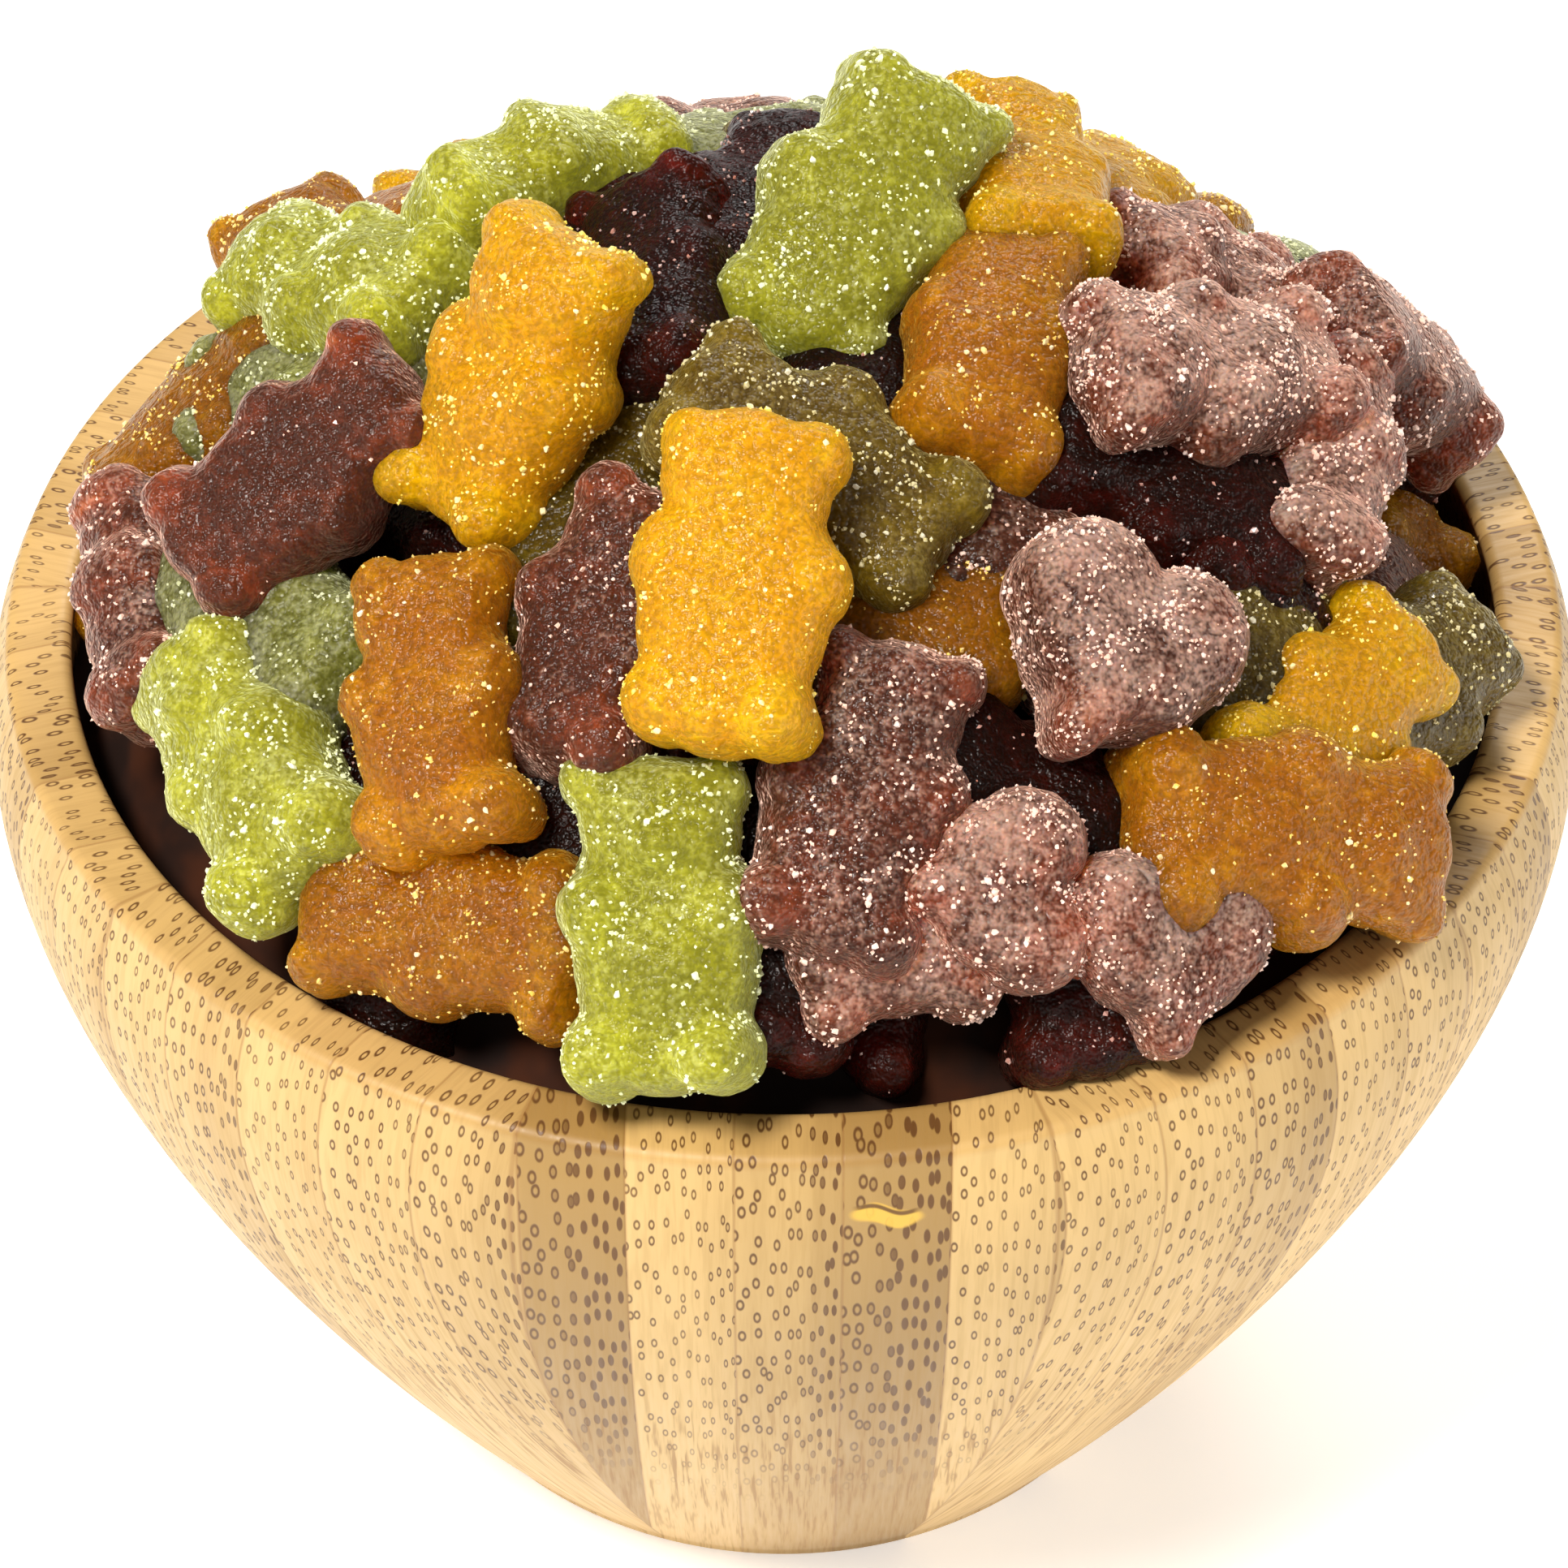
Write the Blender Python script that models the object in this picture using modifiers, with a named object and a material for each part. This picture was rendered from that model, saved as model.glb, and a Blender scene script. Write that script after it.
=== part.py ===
"""A turned bamboo bowl heaped with sugared gummy bears and hearts.

The bowl is one turned solid. The sweets are one heap: a core that fills the bowl, with every
bear and heart of the top layers standing out of it. Units are metres, +Z is up, and the origin
is the centre of the flat foot that the bowl stands on.
"""

import math
import random

import bmesh
import bpy
from mathutils import Matrix, Vector

MM = 0.001

# Bowl
BOWL_HEIGHT = 76 * MM
RIM_RADIUS = 57.5 * MM
FOOT_RADIUS = 31.5 * MM
WALL = 4.9 * MM
FLOOR = 9 * MM
RIM_ROUND = 0.9 * MM
FOOT_ROUND = 1.2 * MM
TURN_STEPS = 64

# The wall's curve: two handles between the foot and the rim, each (radius, height)
OUTER_LOW = (44.5 * MM, 22 * MM)
OUTER_HIGH = (65.3 * MM, 61.5 * MM)
INNER_LOW = (37.5 * MM, 14 * MM)
INNER_HIGH = (61.5 * MM, 55 * MM)
INNER_FLOOR_RADIUS = 16 * MM

# Heap
CROWN = 30 * MM
SPREAD = 54.5 * MM
HEAP_GAP = 0.35 * MM
CORE_DEPTH = 11 * MM
CORE_OVERLAP = 1.5 * MM
ROOM_RADIUS = 58.5 * MM
ROOM_TOP = 150 * MM
HEAP_VOXEL = 1.05 * MM
HEAP_TRIANGLES = 5500

# A bear of full size, lying on its back with its head towards +Y: (centre, radii) of its lobes
BEAR_LENGTH = 24 * MM
BEAR_LOBES = (
    ((0.0, -1.6, 0.0), (6.6, 8.0, 4.6)),
    ((0.0, -2.6, 1.2), (5.0, 5.2, 4.1)),
    ((0.0, 3.2, 0.0), (5.7, 4.0, 4.2)),
    ((0.0, 6.5, 0.2), (6.1, 4.8, 4.5)),
    ((0.0, 5.8, 3.3), (2.6, 2.1, 2.3)),
    ((4.2, 9.6, 0.0), (2.4, 2.1, 2.7)),
    ((-4.2, 9.6, 0.0), (2.4, 2.1, 2.7)),
    ((5.3, 1.0, 1.7), (2.6, 2.6, 3.2)),
    ((-5.3, 1.0, 1.7), (2.6, 2.6, 3.2)),
    ((4.4, -8.3, 1.3), (3.3, 3.4, 4.0)),
    ((-4.4, -8.3, 1.3), (3.3, 3.4, 4.0)),
)
BEAR_BACK = -4.0 * MM

# A heart of full size, lying flat with its notch towards +Y
HEART_LOBES = (
    ((3.1, 1.9, 0.0), (4.3, 4.6, 4.6)),
    ((-3.1, 1.9, 0.0), (4.3, 4.6, 4.6)),
    ((0.0, -1.4, 0.0), (4.2, 4.6, 4.6)),
    ((1.6, -0.2, 0.0), (4.4, 4.4, 4.6)),
    ((-1.6, -0.2, 0.0), (4.4, 4.4, 4.6)),
    ((0.0, -4.6, 0.0), (1.9, 2.6, 4.0)),
)
HEART_BACK = -3.2 * MM
HEART_FRONT = 3.0 * MM

# Where each sweet of the top layer lies: shape, x and y in mm, heading of its head in degrees,
# roll about its length (0 shows its front, 180 its back), lean of its head out of the heap in
# degrees, lift over the heap's dome in mm, and size.
SWEETS = (
    ("bear", 5, 0, 65, 180, 28, 3, 1.04),
    ("bear", -17, 11, 215, 70, 15, 1, 0.98),
    ("bear", -2, 9, 65, 180, 0, 0, 0.95),
    ("bear", -5, 23, 20, 180, 0, -5, 1.0),
    ("bear", -9, -4, 85, 160, 0, 0, 1.0),
    ("bear", 18, 12, 95, 180, 0, 1, 0.95),
    ("bear", 14, -9, 85, 180, 8, 2, 0.94),
    ("bear", 22, 22, 60, 180, 5, -4, 1.0),
    ("bear", 31, 11, 210, 0, 10, -2, 1.0),
    ("bear", 28, -9, 200, 0, 5, 5, 1.0),
    ("bear", 44, 8, 205, 180, 10, 2, 0.95),
    ("bear", 37, -9, 85, 90, 0, 0, 1.0),
    ("bear", 26, -15, 170, 180, 0, -1, 0.95),
    ("bear", 33, -12, 85, 180, 0, -3, 1.0),
    ("heart", 22, -31, 120, 0, 0, 4, 1.18),
    ("bear", 37, -30, 60, 180, 0, 1, 0.95),
    ("bear", 43, -19, 45, 180, 0, -3, 0.92),
    ("bear", 34, -35, 3, 0, 8, 0, 1.0),
    ("heart", 14, -43, 0, 0, 0, 0, 0.96),
    ("heart", 25, -43, 105, 0, 0, -2, 1.0),
    ("bear", 10, -45, 15, 180, 0, -2, 0.95),
    ("bear", 19, -43, 110, 180, 0, -4, 0.9),
    ("bear", 5, -40, 80, 180, 0, 0, 1.0),
    ("bear", 18, -38, 150, 180, 0, -1, 1.0),
    ("bear", -3, -33, 80, 180, 5, 8, 1.0),
    ("bear", -18, -15, 45, 0, 35, 6, 1.0),
    ("bear", -23, -34, 83, 180, 0, 4, 0.95),
    ("bear", 2, -20, 150, 180, 15, 1, 1.0),
    ("bear", -13, -20, 70, 180, 0, -3, 1.0),
    ("bear", -12, -30, 65, 180, 0, 1, 0.95),
    ("bear", -15, -39, 80, 180, 0, -3, 0.95),
    ("bear", -8, -46, 85, 0, 0, -1, 0.93),
    ("bear", -22, -42, 170, 180, 0, -3, 0.95),
    ("bear", -36, -31, 103, -25, 0, 1, 0.92),
    ("bear", -44, -13, 90, 90, 5, -2, 0.95),
    ("bear", -32, -13, 22, 180, 0, 4, 0.98),
    ("bear", -36, -20, 135, 180, 0, -2, 1.0),
    ("bear", -31, 5, 140, 0, 5, 2, 0.95),
    ("bear", -33, 1, 350, 0, 0, -3, 1.0),
    ("bear", -35, 14, 110, 180, 5, -1, 1.0),
    ("bear", -41, 2, 20, 180, 0, -2, 0.95),
    ("bear", -28, 23, 335, 180, 0, -5, 1.0),
    ("bear", -30, -36, 55, 180, 0, -4, 0.95),
    ("bear", 0, -44, 85, 180, 0, -5, 0.9),
    ("bear", 6, -8, 85, 180, 0, -3, 1.0),
    ("bear", 14, -21, 145, 180, 0, -4, 1.0),
    ("bear", 10, -27, 40, 180, 0, -4, 1.0),
    ("bear", 31, -23, 85, 180, 0, -3, 1.0),
    ("bear", -12, 1, 245, 180, 0, -3, 1.0),
)

# The layer beneath, and the sweets on the far slope, lie on a spiral
GOLDEN_ANGLE = math.radians(137.508)
UNDER_COUNT = 52
UNDER_LIFT = -7 * MM
FAR_COUNT = 46
FAR_LIFT = -3.5 * MM
FAR_FALL = 0.1
FAR_SPACING = 11 * MM
FILL_SEED = 11

BAMBOO = (0.62, 0.41, 0.17, 1.0)
GUMMY = (0.75, 0.42, 0.03, 1.0)


def clear_scene():
    """Removes every object that the scene starts with."""
    for obj in list(bpy.data.objects):
        bpy.data.objects.remove(obj)


def make_collection(name):
    """Adds a collection to the scene."""
    collection = bpy.data.collections.new(name)
    bpy.context.scene.collection.children.link(collection)
    return collection


def make_material(name, color, roughness):
    """Makes a plain Principled material."""
    material = bpy.data.materials.new(name)
    material.use_nodes = True
    shader = material.node_tree.nodes["Principled BSDF"]
    shader.inputs["Base Color"].default_value = color
    shader.inputs["Roughness"].default_value = roughness
    shader.inputs["Metallic"].default_value = 0.0
    return material


def bezier(start, low, high, end, steps):
    """Points of a cubic curve in (radius, height), from start to end."""
    points = []
    for i in range(steps + 1):
        t = i / steps
        weights = ((1 - t) ** 3, 3 * (1 - t) ** 2 * t, 3 * (1 - t) * t * t, t**3)
        corners = (start, low, high, end)
        points.append(tuple(sum(w * c[k] for w, c in zip(weights, corners)) for k in (0, 1)))
    return points


def quarter_round(centre, radius, first, last, steps):
    """Points of an arc about centre, between two angles in degrees."""
    points = []
    for i in range(steps + 1):
        angle = math.radians(first + (last - first) * i / steps)
        points.append((centre[0] + radius * math.cos(angle), centre[1] + radius * math.sin(angle)))
    return points


def outer_wall():
    """The bowl's outer curve, from the foot up to the rim's rounding."""
    start = (FOOT_RADIUS, FOOT_ROUND)
    end = (RIM_RADIUS, BOWL_HEIGHT - RIM_ROUND)
    return bezier(start, OUTER_LOW, OUTER_HIGH, end, 9)


def inner_wall():
    """The bowl's inner curve, from its floor up to the rim's rounding."""
    start = (INNER_FLOOR_RADIUS, FLOOR)
    end = (RIM_RADIUS - WALL, BOWL_HEIGHT - RIM_ROUND)
    return bezier(start, INNER_LOW, INNER_HIGH, end, 8)


def bowl_profile():
    """The bowl's whole section, from the axis under the foot round to the axis inside."""
    outer_top = (RIM_RADIUS - RIM_ROUND, BOWL_HEIGHT - RIM_ROUND)
    inner_top = (RIM_RADIUS - WALL + RIM_ROUND, BOWL_HEIGHT - RIM_ROUND)
    foot = (FOOT_RADIUS - FOOT_ROUND, FOOT_ROUND)
    inside = [(0.0, FLOOR)] + inner_wall()[:-1]
    over = quarter_round(inner_top, RIM_ROUND, 180, 90, 2) + quarter_round(outer_top, RIM_ROUND, 90, 0, 2)
    outside = list(reversed(outer_wall()))[1:]
    under = quarter_round(foot, FOOT_ROUND, 0, -90, 2)[1:] + [(0.0, 0.0)]
    return inside + over + outside + under


def turned(name, profile, steps=TURN_STEPS):
    """Makes an object from a profile of (radius, height), turned about Z by a Screw modifier."""
    mesh = bpy.data.meshes.new(name)
    points = [(radius, 0.0, height) for radius, height in profile]
    edges = [(i, i + 1) for i in range(len(points) - 1)]
    mesh.from_pydata(points, edges, [])
    obj = bpy.data.objects.new(name, mesh)
    screw = obj.modifiers.new("Turn", "SCREW")
    screw.axis = "Z"
    screw.angle = math.tau
    screw.steps = steps
    screw.render_steps = steps
    screw.use_merge_vertices = True
    screw.merge_threshold = 0.00001
    screw.use_smooth_shade = True
    return obj


def dome_height(x, y):
    """Height of the heap's smooth dome over a point."""
    share = max(0.0, 1 - (x * x + y * y) / SPREAD**2)
    return BOWL_HEIGHT + CROWN * share**0.8


def dome_normal(x, y):
    """The dome's outward direction over a point."""
    step = 0.5 * MM
    slope_x = (dome_height(x + step, y) - dome_height(x - step, y)) / (2 * step)
    slope_y = (dome_height(x, y + step) - dome_height(x, y - step)) / (2 * step)
    return Vector((-slope_x, -slope_y, 1)).normalized()


def lying(x, y, heading, roll, lean, lift, size):
    """The placing matrix of a sweet that lies on the dome."""
    normal = dome_normal(x, y)
    angle = math.radians(heading)
    ahead = Vector((math.cos(angle), math.sin(angle), 0))
    ahead = (ahead - ahead.dot(normal) * normal).normalized()
    across = ahead.cross(normal)
    turn = Matrix((across, ahead, normal)).transposed().to_4x4()
    tip = Matrix.Rotation(math.radians(lean), 4, "X")
    spin = Matrix.Rotation(math.radians(roll), 4, "Y")
    place = Matrix.Translation((x, y, dome_height(x, y) + lift))
    return place @ turn @ tip @ spin @ Matrix.Scale(size, 4)


def lobed(name, lobes, low, high):
    """A mesh of one sweet as overlapping lobes, flattened between two heights."""
    bm = bmesh.new()
    for centre, radii in lobes:
        place = Matrix.Translation(Vector(centre) * MM) @ Matrix.Diagonal((*(Vector(radii) * MM), 1))
        bmesh.ops.create_icosphere(bm, subdivisions=3, radius=1, matrix=place)
    for vert in bm.verts:
        vert.co.z = min(max(vert.co.z, low), high)
    mesh = bpy.data.meshes.new(name)
    bm.to_mesh(mesh)
    bm.free()
    return mesh


def add_sweet(bm, pattern, matrix):
    """Adds one bear or heart to a bmesh."""
    piece = pattern.copy()
    piece.transform(matrix)
    bm.from_mesh(piece)
    bpy.data.meshes.remove(piece)


def spiral(count):
    """Points spread evenly over the heap's disc."""
    reach = SPREAD - 7 * MM
    for i in range(count):
        radius = reach * math.sqrt((i + 0.5) / count)
        yield radius * math.cos(i * GOLDEN_ANGLE), radius * math.sin(i * GOLDEN_ANGLE)


def fill_places():
    """Placing matrices of the layer beneath, and of the far slope, where no sweet is placed."""
    chance = random.Random(FILL_SEED)
    places = []
    for x, y in spiral(UNDER_COUNT):
        heading, roll = chance.uniform(0, 360), chance.choice((0, 90, 180, 270))
        size = chance.uniform(0.92, 1.04)
        places.append(lying(x, y, heading, roll, 0, UNDER_LIFT, size))
    placed = [Vector((sweet[1], sweet[2])) * MM for sweet in SWEETS]
    for x, y in spiral(FAR_COUNT):
        heading, roll = chance.uniform(0, 360), chance.choice((0, 0, 180, 180, 90))
        lean, size = chance.uniform(-12, 20), chance.uniform(0.92, 1.04)
        here = Vector((x, y))
        if y > 0 and min((here - other).length for other in placed) > FAR_SPACING:
            placed.append(here)
            places.append(lying(x, y, heading, roll, lean, FAR_LIFT - FAR_FALL * y, size))
    return places


def largest_shell(bm):
    """Deletes every separate shell but the one with the most vertices."""
    left = set(bm.verts)
    shells = []
    while left:
        shell, edge_of = set(), [left.pop()]
        while edge_of:
            vert = edge_of.pop()
            shell.add(vert)
            for edge in vert.link_edges:
                other = edge.other_vert(vert)
                if other in left:
                    left.remove(other)
                    edge_of.append(other)
        shells.append(shell)
    shells.sort(key=len)
    for shell in shells[:-1]:
        bmesh.ops.delete(bm, geom=list(shell), context="VERTS")


def core_profile():
    """The fill under the sweets: a little wider than the bowl's inside, with a low domed top."""
    wide = [(radius + CORE_OVERLAP, height - CORE_OVERLAP) for radius, height in inner_wall()]
    shoulder = BOWL_HEIGHT - CORE_DEPTH
    side = [point for point in wide if point[1] < shoulder - 1 * MM]
    top = []
    for i in range(13):
        radius = (SPREAD - 0.5 * MM) * i / 12
        top.append((radius, dome_height(radius, 0) - CORE_DEPTH))
    bottom = [(0.0, FLOOR - CORE_OVERLAP)]
    return top + list(reversed(side)) + bottom


def room_profile():
    """The space the heap may take: the bowl's inside less a gap, and a wide drum over the rim."""
    inside = [(radius - HEAP_GAP, height + HEAP_GAP) for radius, height in inner_wall()]
    mouth = (inside[-1][0], BOWL_HEIGHT + HEAP_GAP)
    drum = [(ROOM_RADIUS, ROOM_TOP), (ROOM_RADIUS, BOWL_HEIGHT + HEAP_GAP), mouth]
    return [(0.0, ROOM_TOP)] + drum + list(reversed(inside)) + [(0.0, FLOOR + HEAP_GAP)]


def mesh_of(obj):
    """A new mesh from an object's evaluated modifiers."""
    bpy.context.view_layer.update()
    graph = bpy.context.evaluated_depsgraph_get()
    return bpy.data.meshes.new_from_object(obj.evaluated_get(graph))


def make_bowl(collection):
    """The turned bowl."""
    bowl = turned("bowl", bowl_profile())
    collection.objects.link(bowl)
    screw = bowl.modifiers["Turn"]
    screw.use_normal_flip = False
    bowl.data.materials.append(make_material("bamboo", BAMBOO, 0.45))
    return bowl


def make_sweets(collection):
    """Every sweet of the heap as one loose mesh, a guide for the heap's outline."""
    patterns = {
        "bear": lobed("bear", BEAR_LOBES, BEAR_BACK, BEAR_LENGTH),
        "heart": lobed("heart", HEART_LOBES, HEART_BACK, HEART_FRONT),
    }
    bm = bmesh.new()
    for shape, x, y, heading, roll, lean, lift, size in SWEETS:
        place = lying(x * MM, y * MM, heading, roll, lean, lift * MM, size)
        add_sweet(bm, patterns[shape], place)
    for place in fill_places():
        add_sweet(bm, patterns["bear"], place)
    mesh = bpy.data.meshes.new("sweets")
    bm.to_mesh(mesh)
    bm.free()
    sweets = bpy.data.objects.new("sweets", mesh)
    collection.objects.link(sweets)
    return sweets


def make_heap(collection, guides):
    """The heap of sweets as one solid: core and sweets run together, cut to the bowl's room."""
    sweets = make_sweets(guides)
    core = turned("core", core_profile())
    guides.objects.link(core)
    room = turned("room", room_profile())
    guides.objects.link(room)

    loose = bmesh.new()
    loose.from_mesh(mesh_of(core))
    loose.from_mesh(sweets.data)
    joined = bpy.data.meshes.new("joined")
    loose.to_mesh(joined)
    loose.free()
    blend = bpy.data.objects.new("joined", joined)
    guides.objects.link(blend)
    remesh = blend.modifiers.new("Remesh", "REMESH")
    remesh.mode = "VOXEL"
    remesh.voxel_size = HEAP_VOXEL

    whole = bmesh.new()
    whole.from_mesh(mesh_of(blend))
    largest_shell(whole)
    bmesh.ops.triangulate(whole, faces=whole.faces)
    count = len(whole.faces)
    mesh = bpy.data.meshes.new("gummy_heap")
    whole.to_mesh(mesh)
    whole.free()

    heap = bpy.data.objects.new("gummy_heap", mesh)
    collection.objects.link(heap)
    thin = heap.modifiers.new("Thin", "DECIMATE")
    thin.ratio = min(1.0, HEAP_TRIANGLES / count)
    cut = heap.modifiers.new("Room", "BOOLEAN")
    cut.operation = "INTERSECT"
    cut.solver = "EXACT"
    cut.object = room
    heap.data.materials.append(make_material("gummy", GUMMY, 0.6))
    return heap


def main():
    """Builds the bowl and its heap."""
    clear_scene()
    filled_bowl = make_collection("bowl_of_gummies")
    guides = make_collection("guides")
    make_bowl(filled_bowl)
    make_heap(filled_bowl, guides)
    for guide in guides.objects:
        guide.hide_render = True
        guide.display_type = "WIRE"


main()
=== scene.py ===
"""A turned bamboo bowl heaped with sugared gummy bears and hearts, dressed for rendering.

The bowl is turned again at a finer step and given its laminated bamboo. Each sweet is cast from
the lobes of its mould, laid on the heap, and dusted with sugar crystals. Units are metres and
+Z is up. The origin is the centre of the bowl's foot.
"""

from __future__ import annotations

import logging
import math
import random
from dataclasses import dataclass, field
from enum import Enum

import bmesh
import bpy
import numpy as np
from mathutils import Matrix, Vector, noise
from mathutils.bvhtree import BVHTree


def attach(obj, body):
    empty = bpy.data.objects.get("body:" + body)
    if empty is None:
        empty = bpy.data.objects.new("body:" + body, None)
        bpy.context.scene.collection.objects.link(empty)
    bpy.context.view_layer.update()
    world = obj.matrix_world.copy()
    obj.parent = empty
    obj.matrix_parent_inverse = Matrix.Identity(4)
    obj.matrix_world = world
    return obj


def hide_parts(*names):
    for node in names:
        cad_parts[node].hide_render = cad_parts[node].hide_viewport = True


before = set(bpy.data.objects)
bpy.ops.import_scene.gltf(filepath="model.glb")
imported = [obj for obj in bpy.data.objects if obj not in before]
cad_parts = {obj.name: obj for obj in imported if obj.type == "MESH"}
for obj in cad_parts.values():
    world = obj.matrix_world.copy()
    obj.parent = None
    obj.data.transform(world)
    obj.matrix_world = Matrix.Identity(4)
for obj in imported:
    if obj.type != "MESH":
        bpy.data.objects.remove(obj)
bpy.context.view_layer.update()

MM = 0.001
GOLDEN_ANGLE = math.radians(137.508)

log = logging.getLogger("bowl_of_gummies")

Colour = tuple[float, float, float]
Point2 = tuple[float, float]
Point3 = tuple[float, float, float]
Socket = bpy.types.NodeSocket


class Shape(Enum):
    """The moulds that the sweets are cast in."""

    BEAR = "bear"
    HEART = "heart"


class Flavour(Enum):
    """The flavours, named for their colours."""

    LEMON = "lemon"
    AMBER = "amber"
    LIME = "lime"
    SAGE = "sage"
    OLIVE = "olive"
    RUSSET = "russet"
    PLUM = "plum"


LEMON, AMBER, LIME, SAGE, OLIVE, RUSSET, PLUM = Flavour


# ---------------------------------------------------------------------------------------------
# Small helpers for meshes and nodes
# ---------------------------------------------------------------------------------------------


def show(name: str, mesh: bpy.types.Mesh) -> bpy.types.Object:
    """Puts a mesh in the scene as an object at the origin.

    Args:
        name: the object's name.
        mesh: its mesh, with its place in its vertices.

    Returns:
        The new object.
    """
    mesh.name = name
    obj = bpy.data.objects.new(name, mesh)
    bpy.context.scene.collection.objects.link(obj)
    return obj


def mesh_from(bm: bmesh.types.BMesh, name: str) -> bpy.types.Mesh:
    """Writes a bmesh to a new mesh and frees it.

    Args:
        bm: the bmesh, which is freed.
        name: the mesh's name.

    Returns:
        The new mesh.
    """
    mesh = bpy.data.meshes.new(name)
    bm.to_mesh(mesh)
    bm.free()
    return mesh


def remeshed(mesh: bpy.types.Mesh, voxel: float) -> bpy.types.Mesh:
    """Runs overlapping bodies together into one even skin.

    Args:
        mesh: the overlapping bodies.
        voxel: the edge of the grid that the skin follows.

    Returns:
        A new mesh, with the old one removed.
    """
    obj = bpy.data.objects.new("casting", mesh)
    bpy.context.scene.collection.objects.link(obj)
    modifier = obj.modifiers.new("Skin", "REMESH")
    modifier.mode = "VOXEL"
    modifier.voxel_size = voxel
    bpy.context.view_layer.update()
    graph = bpy.context.evaluated_depsgraph_get()
    skin = bpy.data.meshes.new_from_object(obj.evaluated_get(graph))
    bpy.data.objects.remove(obj)
    bpy.data.meshes.remove(mesh)
    return skin


def points_of(mesh: bpy.types.Mesh) -> np.ndarray:
    """Reads a mesh's vertex positions as rows of x, y, z."""
    flat = np.empty(len(mesh.vertices) * 3)
    mesh.vertices.foreach_get("co", flat)
    return flat.reshape(-1, 3)


def normals_of(mesh: bpy.types.Mesh) -> np.ndarray:
    """Reads a mesh's vertex normals as rows of x, y, z."""
    flat = np.empty(len(mesh.vertices) * 3)
    mesh.vertex_normals.foreach_get("vector", flat)
    return flat.reshape(-1, 3)


def set_points(mesh: bpy.types.Mesh, points: np.ndarray) -> None:
    """Writes a mesh's vertex positions."""
    mesh.vertices.foreach_set("co", points.astype(np.float32).ravel())
    mesh.update()


def note_value(mesh: bpy.types.Mesh, name: str, values: np.ndarray) -> None:
    """Stores one number for each vertex, for a material to read.

    Args:
        mesh: the mesh to store on.
        name: the attribute's name.
        values: a number for each vertex.
    """
    layer = mesh.attributes.new(name, "FLOAT", "POINT")
    layer.data.foreach_set("value", np.asarray(values, dtype=np.float32))


def turned(section: list[Point2], steps: int) -> bmesh.types.BMesh:
    """Turns a section round the upright axis.

    Args:
        section: points of (radius, height), from the axis round and back to it.
        steps: how many steps make a whole turn.

    Returns:
        The closed body.
    """
    bm = bmesh.new()
    verts = [bm.verts.new((radius, 0.0, height)) for radius, height in section]
    edges = [bm.edges.new(pair) for pair in zip(verts, verts[1:])]
    bmesh.ops.spin(
        bm,
        geom=verts + edges,
        cent=(0, 0, 0),
        axis=(0, 0, 1),
        angle=math.tau,
        steps=steps,
        use_merge=True,
        use_duplicate=False,
    )
    bmesh.ops.remove_doubles(bm, verts=bm.verts, dist=1e-6)
    bmesh.ops.recalc_face_normals(bm, faces=bm.faces)
    return bm


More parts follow.
